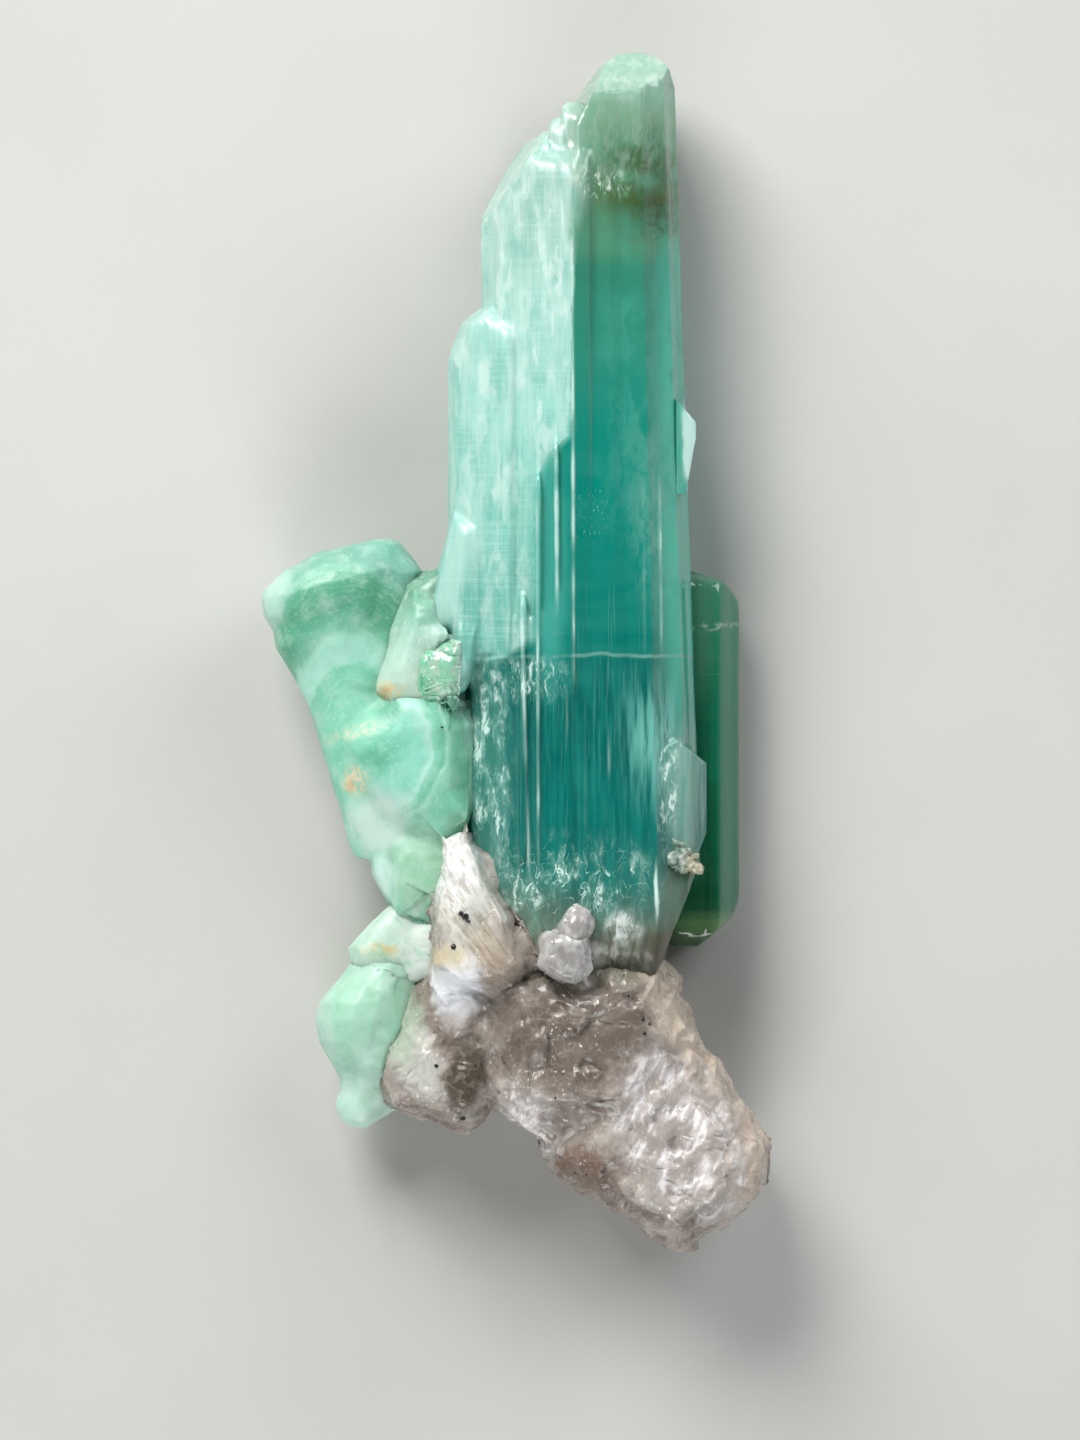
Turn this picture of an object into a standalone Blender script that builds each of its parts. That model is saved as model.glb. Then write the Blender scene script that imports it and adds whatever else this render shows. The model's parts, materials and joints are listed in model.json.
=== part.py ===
"""A tourmaline specimen, lying on its back: a striated blue-green crystal of parallel columns, smaller
green crystals beside it, and the lump of quartz that holds their roots.

Metres, +Z up. +Y runs along the main crystal to its tip, +X is to its right, and it rests on z = 0.
Everything is shaped at one unit to the millimetre, and the finished pieces are scaled to metres at the end.
"""

import math
import random

import bmesh
import bpy
from mathutils import Matrix, Vector

MM = 0.001
GAP = 0.25  # clearance between neighbouring crystals, so that their faces never cross
REST_Z = 0.0

# Main crystal. Each column is a convex section in X and Z, run along Y.
RIDGE_PITCH = 0.95  # growth ridges down the prism faces
RIDGE_DEPTH = 0.17
TAPER = 0.0037  # the tall column narrows by this share for each millimetre towards its tip
TAPER_PIVOT = (4.9, 7.0)
ROOT_Y = -26.2
COLUMN_STEP = 0.06

# The broken quartz is split into facets of about this size, and its surface is chipped to this depth.
ROCK_GRAIN = 0.55
ROCK_CHIP = 0.9
ROCK_CHIP_WIDTH = 3.4
ROCK_FACES = 3000


# ---------------------------------------------------------------- shapes


def clear_scene():
    for obj in list(bpy.data.objects):
        bpy.data.objects.remove(obj, do_unlink=True)


def add_object(name, mesh_data):
    """A new object from a bmesh, with its faces turned outwards."""
    bmesh.ops.remove_doubles(mesh_data, verts=mesh_data.verts, dist=1e-4)
    bmesh.ops.recalc_face_normals(mesh_data, faces=mesh_data.faces)
    mesh = bpy.data.meshes.new(name)
    mesh_data.to_mesh(mesh)
    mesh_data.free()
    obj = bpy.data.objects.new(name, mesh)
    bpy.context.scene.collection.objects.link(obj)
    return obj


def trim(mesh_data, point, normal):
    """Cuts away what lies beyond a plane and closes the cut with one flat face."""
    geometry = mesh_data.verts[:] + mesh_data.edges[:] + mesh_data.faces[:]
    cut = bmesh.ops.bisect_plane(
        mesh_data, geom=geometry, plane_co=point, plane_no=normal, clear_outer=True, dist=1e-5
    )
    rim = [item for item in cut["geom_cut"] if isinstance(item, bmesh.types.BMEdge)]
    if rim:
        bmesh.ops.edgenet_fill(mesh_data, edges=rim)


def grown(section, by):
    """A convex section with each side moved out by the same distance."""
    middle = sum((Vector(p) for p in section), Vector((0, 0))) / len(section)
    sides = []
    for start, end in zip(section, section[1:] + section[:1]):
        along = (Vector(end) - Vector(start)).normalized()
        out = Vector((along.y, -along.x))
        if out.dot(Vector(start) - middle) < 0:
            out = -out
        sides.append((Vector(start) + out * by, along))
    corners = []
    for (point, along), (next_point, next_along) in zip(sides[-1:] + sides[:-1], sides):
        turn = along.x * next_along.y - along.y * next_along.x
        offset = next_point - point
        step = (offset.x * next_along.y - offset.y * next_along.x) / turn
        corners.append(tuple(point + along * step))
    return corners


def ridged(section, rng):
    """The section with shallow, uneven steps along each face, except a face that the specimen rests on."""
    middle = sum((Vector(p) for p in section), Vector((0, 0))) / len(section)
    points = []
    for start, end in zip(section, section[1:] + section[:1]):
        first, last = Vector(start), Vector(end)
        points.append(tuple(first))
        side = last - first
        count = int(side.length / RIDGE_PITCH)
        flat_on_rest = abs(first.y - REST_Z) < 0.01 and abs(last.y - REST_Z) < 0.01
        if count < 2 or flat_on_rest:
            continue
        inward = Vector((-side.y, side.x)).normalized()
        if inward.dot(middle - first) < 0:
            inward = -inward
        for ridge in range(1, count):
            place = (ridge + rng.uniform(-0.3, 0.3)) / count
            depth = RIDGE_DEPTH * rng.choice((0.15, 0.5, 1.0)) * rng.uniform(0.6, 1.0)
            points.append(tuple(first + side * place + inward * depth))
    return points


def prism(name, section, foot, tip, cuts=(), taper=0.0, pivot=(0.0, 0.0)):
    """A column from foot to tip along Y, trimmed by planes given as (point, normal)."""
    mesh_data = bmesh.new()
    rings = []
    for y in (foot, tip):
        scale = 1 - taper * y
        rings.append(
            [
                mesh_data.verts.new(
                    (pivot[0] + (x - pivot[0]) * scale, y, pivot[1] + (z - pivot[1]) * scale)
                )
                for x, z in section
            ]
        )
    count = len(section)
    for i in range(count):
        after = (i + 1) % count
        mesh_data.faces.new((rings[0][i], rings[0][after], rings[1][after], rings[1][i]))
    mesh_data.faces.new(rings[0])
    mesh_data.faces.new(rings[1])
    for point, normal in cuts:
        trim(mesh_data, Vector(point), Vector(normal).normalized())
    return add_object(name, mesh_data)


def lump(name, *layers):
    """The convex hull of outlines, each a list of (x, y) points at its own height z."""
    mesh_data = bmesh.new()
    for z, outline in layers:
        for x, y in outline:
            mesh_data.verts.new((x, y, z))
    hull = bmesh.ops.convex_hull(mesh_data, input=mesh_data.verts)
    inner = [v for v in hull["geom_interior"] if isinstance(v, bmesh.types.BMVert)]
    bmesh.ops.delete(mesh_data, geom=inner, context="VERTS")
    bmesh.ops.dissolve_limit(
        mesh_data, angle_limit=math.radians(1), verts=mesh_data.verts, edges=mesh_data.edges
    )
    return add_object(name, mesh_data)


def shrunk(outline, share):
    """An outline drawn in towards its own middle."""
    mid_x = sum(x for x, _ in outline) / len(outline)
    mid_y = sum(y for _, y in outline) / len(outline)
    return [(mid_x + (x - mid_x) * share, mid_y + (y - mid_y) * share) for x, y in outline]


def loft(name, stations, sides, squareness=2.4):
    """A closed form through rings. A station is a ring's left and right ends, mid height and half depth."""
    mesh_data = bmesh.new()
    rings = []
    for (left, right, mid_z, half_depth) in stations:
        centre = (Vector(left) + Vector(right)) / 2
        across = (Vector(right) - Vector(left)) / 2
        ring = []
        for i in range(sides):
            angle = 2 * math.pi * i / sides
            cosine, sine = math.cos(angle), math.sin(angle)
            reach = math.copysign(abs(cosine) ** (2 / squareness), cosine)
            height = math.copysign(abs(sine) ** (2 / squareness), sine)
            point = centre + across * reach
            ring.append(mesh_data.verts.new((point.x, point.y, mid_z + half_depth * height)))
        rings.append(ring)
    for low, high in zip(rings, rings[1:]):
        for i in range(sides):
            after = (i + 1) % sides
            mesh_data.faces.new((low[i], low[after], high[after], high[i]))
    mesh_data.faces.new(rings[0])
    mesh_data.faces.new(rings[-1])
    return add_object(name, mesh_data)


# ---------------------------------------------------------------- joining and fitting


def apply_modifiers(obj):
    """Turns the object's modifiers into plain mesh."""
    bpy.context.view_layer.update()
    graph = bpy.context.evaluated_depsgraph_get()
    mesh = bpy.data.meshes.new_from_object(obj.evaluated_get(graph))
    obj.modifiers.clear()
    obj.data = mesh


def boolean(obj, others, operation):
    """Joins the others to the object, or cuts them from it, and removes them."""
    for other in others:
        modifier = obj.modifiers.new(operation.lower(), "BOOLEAN")
        modifier.operation = operation
        modifier.use_self = True
        modifier.object = other
        apply_modifiers(obj)
    remove(others)
    return obj


def remove(objects):
    for obj in objects:
        bpy.data.objects.remove(obj, do_unlink=True)


def swollen(obj, by=GAP):
    """A copy with every face moved out, to cut room for the object in a neighbour."""
    copy = obj.copy()
    copy.data = obj.data.copy()
    bpy.context.scene.collection.objects.link(copy)
    mesh_data = bmesh.new()
    mesh_data.from_mesh(copy.data)
    mesh_data.normal_update()
    moves = [v.normal * by * min(v.calc_shell_factor(), 1.8) for v in mesh_data.verts]
    for vertex, move in zip(mesh_data.verts, moves):
        vertex.co += move
    mesh_data.to_mesh(copy.data)
    mesh_data.free()
    return copy


def socket_for(obj):
    """A plain hull a little larger than the object: the socket that it sits in."""
    points = [tuple(vertex.co) for vertex in obj.data.vertices]
    hull = lump("socket", *[(z, [(x, y)]) for x, y, z in points])
    grown_hull = swollen(hull)
    remove([hull])
    return grown_hull


def chipped(obj, grain, depth, width, faces):
    """Breaks a joined lump into irregular facets, as fractured rock has."""
    remesh = obj.modifiers.new("even", "REMESH")
    remesh.mode = "VOXEL"
    remesh.voxel_size = grain
    apply_modifiers(obj)
    texture = bpy.data.textures.new(obj.name + "_chips", "VORONOI")
    texture.noise_scale = width
    texture.distance_metric = "CHEBYCHEV"
    displace = obj.modifiers.new("chips", "DISPLACE")
    displace.texture = texture
    displace.texture_coords = "GLOBAL"
    displace.strength = depth
    displace.mid_level = 0.35
    apply_modifiers(obj)
    decimate = obj.modifiers.new("facets", "DECIMATE")
    decimate.ratio = min(1.0, faces / (2 * len(obj.data.polygons)))
    apply_modifiers(obj)
    return obj


def main_body(obj):
    """Keeps the largest connected body and drops slivers that a cut has left loose."""
    mesh_data = bmesh.new()
    mesh_data.from_mesh(obj.data)
    waiting = set(mesh_data.verts)
    bodies = []
    while waiting:
        body = {waiting.pop()}
        edge_of_body = list(body)
        while edge_of_body:
            vertex = edge_of_body.pop()
            for edge in vertex.link_edges:
                other = edge.other_vert(vertex)
                if other in waiting:
                    waiting.remove(other)
                    body.add(other)
                    edge_of_body.append(other)
        bodies.append(body)
    bodies.sort(key=len)
    loose = [vertex for body in bodies[:-1] for vertex in body]
    bmesh.ops.delete(mesh_data, geom=loose, context="VERTS")
    bmesh.ops.remove_doubles(mesh_data, verts=mesh_data.verts, dist=0.001)
    mesh_data.to_mesh(obj.data)
    mesh_data.free()
    return obj


def flattened_on_rest(obj):
    """Trims the lowest points away, so that the piece rests on small flats."""
    mesh_data = bmesh.new()
    mesh_data.from_mesh(obj.data)
    trim(mesh_data, Vector((0, 0, REST_Z)), Vector((0, 0, -1)))
    mesh_data.to_mesh(obj.data)
    mesh_data.free()
    return obj


# ---------------------------------------------------------------- main crystal

# Planes that trim a column: a point on the plane and the direction that is cut away.
FRONT_TIP = ((0, 42.5, 13.4), (0, 0.83, 0.56))
BACK_TIP = ((0, 43.6, 1.6), (0, 0.86, -0.51))
ROOT_FRONT = ((0, -22.6, 14.9), (0, -0.62, 0.78))
ROOT_RIGHT = ((12.6, -21.1, 0), (0.93, -0.36, 0))
ROOT_LEFT = ((-3.7, -15.8, 0), (-0.82, -0.57, 0))

MAIN_COLUMNS = [
    # name, section (x, z), foot, tip, cuts, tapered
    (
        "tall",
        [(4.9, 14.6), (10.7, 13.8), (12.9, 12.0), (13.9, 9.4), (10.7, 0.7), (4.9, 0.7)],
        ROOT_Y,
        46.3,
        [
            FRONT_TIP,
            BACK_TIP,
            ((5.0, 43.3, 0), (-0.86, 0.51, 0.1)),
            ((5.9, 45.0, 0), (-0.54, 0.84, 0.05)),
            ((9.3, 46.1, 0), (-0.12, 0.99, 0.0)),
            ((9.9, 46.1, 0), (0.34, 0.94, 0.0)),
            ((11.6, 45.2, 0), (0.72, 0.69, 0.0)),
            ((12.4, 43.5, 0), (0.97, 0.26, 0.0)),
            ROOT_FRONT,
            ROOT_RIGHT,
        ],
        True,
    ),
    (
        "middle",
        [
            (6.0, 14.1), (4.6, 14.6), (2.0, 13.8), (-0.9, 12.3), (-2.4, 9.5), (-2.4, 4.8), (-0.6, 1.0),
            (6.0, 0.5),
        ],
        ROOT_Y,
        39.5,
        [
            ((0.1, 38.9, 0), (-0.85, 0.53, 0.12)),
            ((0.2, 37.2, 13.6), (-0.1, 0.80, 0.60)),
            ((0.8, 38.0, 0.6), (0.0, 0.80, -0.60)),
            ROOT_FRONT,
            ROOT_LEFT,
        ],
        False,
    ),
    (
        "left",
        [
            (0.4, 12.7), (-0.3, 13.3), (-3.0, 12.0), (-4.5, 10.3), (-5.05, 8.2), (-4.8, 4.3),
            (-3.2, 1.4), (1.0, 1.0),
        ],
        -0.6,
        27.2,
        [
            ((-5.0, 24.3, 0), (-0.89, 0.45, 0.1)),
            ((-4.2, 25.8, 0), (-0.62, 0.78, 0.1)),
            ((-1.0, 24.6, 13.0), (0.15, 0.72, 0.68)),
            ((-2.0, 26.0, 1.2), (0.0, 0.75, -0.66)),
        ],
        False,
    ),
    (
        "lower_left",
        [
            (4.6, 14.8), (1.6, 14.1), (-1.1, 12.7), (-3.2, 10.4), (-3.7, 8.0), (-3.6, 4.6),
            (-2.2, 1.6), (4.0, 0.9),
        ],
        ROOT_Y,
        2.5,
        [ROOT_LEFT, ROOT_FRONT],
        False,
    ),
    (
        "back",
        [(0.6, 0.0), (9.6, 0.0), (10.9, 3.2), (10.2, 8.0), (1.0, 8.0), (-1.2, 3.0)],
        ROOT_Y + 3.4,
        35.5,
        [((0.8, 34.0, 0.0), (0.0, 0.85, -0.53))],
        False,
    ),
    (
        "right_plate",
        [(12.2, 8.6), (13.9, 9.4), (14.1, 11.0), (12.6, 11.9)],
        11.6,
        19.4,
        [((14.05, 17.9, 0), (0.75, 0.66, 0.0)), ((14.1, 14.6, 0), (0.98, -0.18, 0.0))],
        False,
    ),
    (
        "lower_right",
        [(11.6, 8.0), (14.4, 8.9), (14.9, 10.6), (13.6, 12.6), (11.4, 13.4)],
        -20.0,
        -6.9,
        [((14.4, -8.0, 0), (0.62, 0.78, 0.0)), ((12.6, -7.2, 13.4), (-0.2, 0.7, 0.68)), ROOT_RIGHT],
        False,
    ),
]

# Thin columns that climb as steps between the middle column's top and the tall one: left, right, tip.
STEPS = [(1.9, 2.85, 39.85), (2.8, 4.0, 40.95), (3.75, 5.4, 42.1)]

# Ridges of later growth that stand on the front face: left, right, foot, tip, front height.
FRONT_RIDGES = [
    (0.55, 1.05, -16.5, 4.0, 14.25),
    (1.75, 2.15, -16.0, 13.5, 14.5),
    (3.15, 3.50, 2.4, 16.0, 14.8),
]

# The left column's pale shoulder widens downwards and wraps round the foot of the column.
SHOULDER = [
    (-4.6, 10.8), (-5.3, 8.2), (-6.05, 5.3), (-6.45, 3.5), (-6.5, 1.3), (-4.4, 0.8), (-2.6, 0.6),
    (-2.6, 9.0),
]
SHOULDER_FOOT = [
    (-4.6, 3.0), (-2.4, 2.6), (-2.7, -0.4), (-3.2, -2.4), (-3.8, -3.6), (-4.7, -4.0), (-3.9, -2.2),
    (-3.9, 0.4),
]


def shoulder():
    """The smooth swelling on the left column's flank."""
    upper = lump(
        "main_shoulder",
        (4.8, shrunk(SHOULDER, 0.8)),
        (9.8, SHOULDER),
        (11.4, [(-4.5, 10.0), (-5.5, 6.0), (-5.9, 3.6), (-5.9, 1.6), (-3.0, 1.2), (-3.0, 9.0)]),
        (12.2, [(-3.6, 9.4), (-4.2, 5.0), (-4.4, 2.0), (-2.6, 1.6), (-2.6, 9.2)]),
    )
    foot = lump(
        "main_shoulder_foot",
        (6.0, shrunk(SHOULDER_FOOT, 0.9)),
        (11.4, SHOULDER_FOOT),
        (12.7, shrunk(SHOULDER_FOOT, 0.6)),
    )
    return [upper, foot]


def main_crystal(grow=0.0):
    """The fused bundle of columns. With grow, a plain and slightly larger copy that cuts its neighbours."""
    rng = random.Random(11)
    parts = []
    for order, (name, section, foot, tip, cuts, tapered) in enumerate(MAIN_COLUMNS):
        shape = grown(section, grow) if grow else ridged(section, rng)
        # Each column is trimmed a little further in than the last, so that no two end on one plane.
        out = grow - COLUMN_STEP * order
        moved = [(Vector(point) + Vector(normal).normalized() * out, normal) for point, normal in cuts]
        taper, pivot = (TAPER, TAPER_PIVOT) if tapered else (0.0, (0.0, 0.0))
        foot_end = foot - grow + COLUMN_STEP * order
        parts.append(prism("main_" + name, shape, foot_end, tip + grow, moved, taper, pivot))
    if grow:
        lobes = shoulder()
        parts += [swollen(lobe, grow) for lobe in lobes]
        remove(lobes)
        return boolean(parts[0], parts[1:], "UNION")
    for left, right, tip in STEPS:
        section = [(left, 12.3), (right, 12.9), (right, 4.4), (left, 5.0)]
        slope = [((left, tip - 0.35, 0), (-0.55, 0.80, 0.0)), ((left, tip - 0.9, 12.3), (0.0, 0.80, 0.6))]
        parts.append(prism("main_step", section, 33.0, tip, slope))
    for left, right, foot, tip, front in FRONT_RIDGES:
        section = [(left, front), (right, front), (right + 0.1, 12.4), (left - 0.1, 12.4)]
        ends = [((left, tip, front), (0.0, 0.55, 0.83)), ((left, foot, front), (0.0, -0.55, 0.83))]
        parts.append(prism("main_ridge", section, foot, tip, ends))
    return boolean(parts[0], parts[1:] + shoulder(), "UNION")


# ---------------------------------------------------------------- smaller crystals


def side_crystal():
    """The deep green prism behind the main crystal's right edge."""
    section = [(12.0, 8.3), (16.0, 7.9), (17.6, 5.3), (17.1, 2.4), (15.0, 0.8), (10.4, 0.8), (10.0, 4.0)]
    cuts = [
        ((15.2, 5.6, 0), (0.34, 0.94, 0.0)),
        ((17.2, 4.2, 0), (0.80, 0.60, 0.0)),
        ((15.0, 5.0, 7.9), (0.1, 0.70, 0.70)),
        ((15.9, -21.8, 0), (0.62, -0.78, 0.0)),
        ((17.2, -20.4, 0), (0.94, -0.34, 0.0)),
        ((14.0, -22.4, 7.6), (0.0, -0.70, 0.70)),
    ]
    crystal = prism("side_crystal", ridged(section, random.Random(5)), -23.1, 6.1, cuts)
    return boolean(crystal, [main_crystal(GAP)], "DIFFERENCE")


def pale_crystal():
    """The smooth pale crystal on the main crystal's left shoulder, with its slimmer green tip behind."""
    body = [
        (-7.8, 5.0), (-8.05, 4.4), (-8.9, 1.6), (-9.7, -0.5), (-10.5, -3.2), (-10.1, -4.0), (-8.8, -4.3),
        (-6.8, -4.4), (-4.2, -4.4), (-3.4, -0.8), (-4.4, 1.6), (-5.6, 4.6),
    ]
    tip = [
        (-8.05, 4.4), (-7.8, 5.0), (-7.2, 6.1), (-6.2, 6.85), (-5.8, 6.75), (-5.2, 5.0), (-5.2, -1.0),
        (-9.0, -1.0),
    ]
    crystal = lump(
        "pale_crystal",
        (5.4, shrunk(body, 0.88)),
        (9.0, body),
        (11.0, [(-7.6, 4.4), (-9.2, 0.0), (-10.0, -3.0), (-9.0, -4.0), (-6.6, -4.0), (-6.7, 3.6)]),
        (12.2, [(-7.2, 3.2), (-8.8, -2.4), (-7.6, -3.4), (-7.0, -2.6), (-6.9, 2.6)]),
    )
    back = lump(
        "tip", (3.6, shrunk(tip, 0.84)), (6.6, tip), (9.4, shrunk(tip, 0.96)), (10.8, shrunk(tip, 0.7))
    )
    boolean(crystal, [back], "UNION")
    return boolean(crystal, [main_crystal(GAP)], "DIFFERENCE")


def glassy_crystal():
    """A small bright crystal set in the pale one."""
    outline = [
        (-6.5, -0.5), (-5.9, 0.35), (-4.9, 0.7), (-4.25, 0.8), (-4.1, -0.5), (-4.05, -1.6),
        (-4.5, -3.2), (-5.3, -4.0), (-6.4, -4.2), (-6.9, -3.5), (-6.75, -2.0),
    ]
    crystal = lump(
        "glassy_crystal",
        (9.4, shrunk(outline, 0.6)),
        (12.0, outline),
        (12.8, shrunk(outline, 0.9)),
        (13.3, [(-5.6, -0.1), (-4.8, -0.2), (-4.8, -2.4), (-5.8, -3.2), (-6.1, -2.0)]),
    )
    return boolean(crystal, [main_crystal(GAP)], "DIFFERENCE")


FLARED_STATIONS = [
    # left end, right end, mid height, half depth, from the foot to the domed top
    ((-12.3, -16.2), (-6.6, -16.4), 6.2, 2.6),
    ((-12.7, -15.6), (-6.2, -15.6), 6.2, 3.3),
    ((-13.2, -13.3), (-6.0, -13.2), 6.4, 3.9),
    ((-14.2, -10.1), (-6.6, -9.7), 6.5, 4.0),
    ((-15.4, -5.9), (-8.2, -5.0), 6.4, 3.7),
    ((-16.0, -4.2), (-8.8, -2.8), 6.3, 3.6),
    ((-17.0, -2.2), (-9.0, 0.0), 6.3, 3.9),
    ((-18.45, 0.1), (-8.6, 2.8), 6.4, 4.5),
    ((-18.6, 1.4), (-8.3, 4.4), 6.4, 4.8),
    ((-19.3, 2.4), (-8.1, 5.6), 6.4, 5.2),
    ((-19.6, 3.7), (-7.9, 6.7), 6.4, 5.3),
    ((-19.3, 4.6), (-8.1, 7.4), 6.4, 4.9),
    ((-17.9, 5.9), (-8.7, 8.3), 6.4, 4.0),
    ((-15.3, 7.4), (-9.6, 8.6), 6.4, 2.2),
]


def flared_crystal():
    """The banded crystal that widens to a domed top, fused with the stub in front of its foot."""
    crystal = loft("flared_crystal", FLARED_STATIONS, 16)
    stub = [
        (-13.2, -7.2), (-11.4, -5.2), (-9.6, -4.1), (-6.2, -3.8), (-3.4, -4.0), (-3.4, -12.6),
        (-4.6, -14.2), (-6.6, -14.6), (-9.6, -13.4), (-12.2, -10.4),
    ]
    knob = [
        (-10.0, -13.4), (-6.0, -13.6), (-4.1, -14.6), (-4.3, -18.0), (-5.8, -20.0), (-6.4, -21.5),
        (-7.7, -21.2), (-9.3, -19.8),
    ]
    heel = [
        (-11.2, -15.4), (-10.9, -16.6), (-11.0, -17.5), (-10.4, -18.7), (-9.2, -19.8), (-7.6, -18.6),
        (-7.6, -14.8), (-9.4, -14.2),
    ]
    others = [
        lump(
            "stub",
            (5.0, shrunk(stub, 0.9)),
            (9.8, stub),
            (11.4, shrunk(stub, 0.88)),
            (12.6, [(-9.6, -6.6), (-6.6, -5.8), (-4.9, -6.4), (-4.8, -10.8), (-6.4, -12.4), (-9.4, -10.4)]),
        ),
        lump("knob", (3.4, shrunk(knob, 0.75)), (8.2, knob), (10.6, shrunk(knob, 0.72))),
        lump("heel", (3.2, shrunk(heel, 0.75)), (7.0, heel), (9.4, shrunk(heel, 0.70))),
    ]
    return boolean(crystal, others, "UNION")


def wedge_crystal():
    """The pale flat crystal between the flared crystal's foot and the rounded one below."""
    outline = [
        (-9.2, -19.4), (-10.5, -20.8), (-11.9, -22.2), (-13.0, -23.4), (-13.05, -23.9), (-12.6, -24.7),
        (-9.5, -26.0), (-6.4, -26.0), (-5.2, -22.0), (-6.6, -20.0),
    ]
    return lump(
        "wedge_crystal",
        (3.6, shrunk(outline, 0.8)),
        (6.8, outline),
        (9.6, [(-9.3, -20.3), (-12.0, -23.6), (-9.0, -25.4), (-6.0, -25.0), (-5.9, -21.4)]),
    )


ROUNDED_STATIONS = [
    ((-11.4, -24.1), (-8.6, -23.9), 6.2, 1.9),
    ((-12.7, -24.8), (-7.7, -24.6), 6.2, 3.1),
    ((-13.95, -26.1), (-7.2, -25.8), 6.2, 3.9),
    ((-15.1, -27.4), (-7.4, -27.2), 6.2, 4.3),
    ((-15.4, -28.8), (-7.9, -28.4), 6.2, 4.3),
    ((-15.1, -30.4), (-8.6, -30.0), 6.0, 4.0),
    ((-14.2, -32.0), (-9.2, -31.9), 5.6, 3.4),
    ((-13.5, -33.2), (-9.6, -33.2), 5.1, 2.7),
    ((-13.45, -34.3), (-9.7, -34.2), 4.9, 2.4),
    ((-13.95, -35.4), (-9.3, -35.2), 4.8, 2.5),
    ((-13.5, -36.6), (-10.3, -36.5), 4.8, 2.2),
    ((-12.7, -37.2), (-11.3, -37.2), 4.8, 1.3),
]


def rounded_crystal():
    """The smooth mint crystal low on the left, with its short tail."""
    crystal = loft("rounded_crystal", list(reversed(ROUNDED_STATIONS)), 14, 2.1)
    toe = [(-10.6, -34.0), (-9.5, -34.5), (-9.05, -35.5), (-9.6, -36.1), (-10.8, -36.2)]
    nub = lump("toe", (3.0, shrunk(toe, 0.8)), (4.6, toe), (6.0, shrunk(toe, 0.8)))
    return boolean(crystal, [nub], "UNION")


def hexagonal_point(name, base, direction, radius, length):
    """A small six-sided crystal with a pointed end."""
    mesh_data = bmesh.new()
    rings = []
    for z, width in [(0.0, radius), (0.68 * length, 0.92 * radius)]:
        angles = [math.pi * corner / 3 for corner in range(6)]
        rings.append([mesh_data.verts.new((width * math.cos(a), width * math.sin(a), z)) for a in angles])
    tip = mesh_data.verts.new((0, 0, length))
    for i in range(6):
        after = (i + 1) % 6
        mesh_data.faces.new((rings[0][i], rings[0][after], rings[1][after], rings[1][i]))
        mesh_data.faces.new((rings[1][i], rings[1][after], tip))
    mesh_data.faces.new(rings[0])
    turn = Vector((0, 0, 1)).rotation_difference(direction).to_matrix()
    bmesh.ops.rotate(mesh_data, matrix=turn, verts=mesh_data.verts)
    bmesh.ops.translate(mesh_data, vec=base, verts=mesh_data.verts)
    return add_object(name, mesh_data)


def quartz_crystal():
    """The small colourless crystal at the foot of the main crystal's front."""
    block = [
        (2.1, -23.2), (2.35, -22.2), (3.4, -21.8), (5.5, -22.0), (5.85, -23.1), (6.1, -24.5),
        (5.6, -25.3), (4.9, -25.7), (3.6, -25.5), (1.85, -24.5),
    ]
    peak = [
        (3.6, -21.9), (4.3, -20.8), (4.55, -19.7), (4.9, -19.4), (5.9, -20.0), (6.05, -21.2),
        (5.6, -22.4), (4.0, -22.8),
    ]
    layers = [(13.0, block), (15.6, shrunk(block, 0.96)), (16.6, shrunk(block, 0.66))]
    crystal = lump("quartz_crystal", *layers)
    top = [(4.6, -20.6), (5.1, -20.7), (4.8, -22.0)]
    upper = lump("peak", (13.4, peak), (15.4, shrunk(peak, 0.94)), (16.4, top))
    boolean(crystal, [upper], "UNION")
    return boolean(crystal, [main_crystal(GAP)], "DIFFERENCE")


DRUSE_BED = [
    (11.6, -16.6), (12.0, -15.5), (12.7, -15.0), (13.8, -15.8), (14.3, -16.6), (13.8, -17.3), (12.6, -17.3),
]
DRUSE_MIDDLE = Vector((13.1, -16.3, 12.6))
DRUSE_POINTS = [
    # place and radius of each small crystal
    (12.1, -15.7, 0.34), (12.6, -15.3, 0.40), (13.2, -15.6, 0.30), (13.4, -16.1, 0.36), (13.7, -16.7, 0.50),
    (12.9, -16.4, 0.46), (12.2, -16.5, 0.38), (13.3, -16.9, 0.32), (12.6, -16.9, 0.28), (13.7, -16.2, 0.26),
]


def druse():
    """A crust of tiny crystals on the right shoulder of the root, each leaning outwards."""
    crust = lump("druse", (9.6, shrunk(DRUSE_BED, 0.8)), (12.4, DRUSE_BED), (13.6, shrunk(DRUSE_BED, 0.7)))
    rng = random.Random(3)
    points = []
    for x, y, radius in DRUSE_POINTS:
        base = Vector((x, y, DRUSE_MIDDLE.z))
        wander = Vector((rng.uniform(-0.7, 0.7), rng.uniform(-0.7, 0.7), 1.5))
        lean = (base - DRUSE_MIDDLE + wander).normalized()
        points.append(hexagonal_point("point", base, lean, radius, rng.uniform(1.1, 1.9)))
    boolean(crust, points, "UNION")
    return boolean(crust, [main_crystal(GAP)], "DIFFERENCE")


# ---------------------------------------------------------------- quartz matrix


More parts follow.
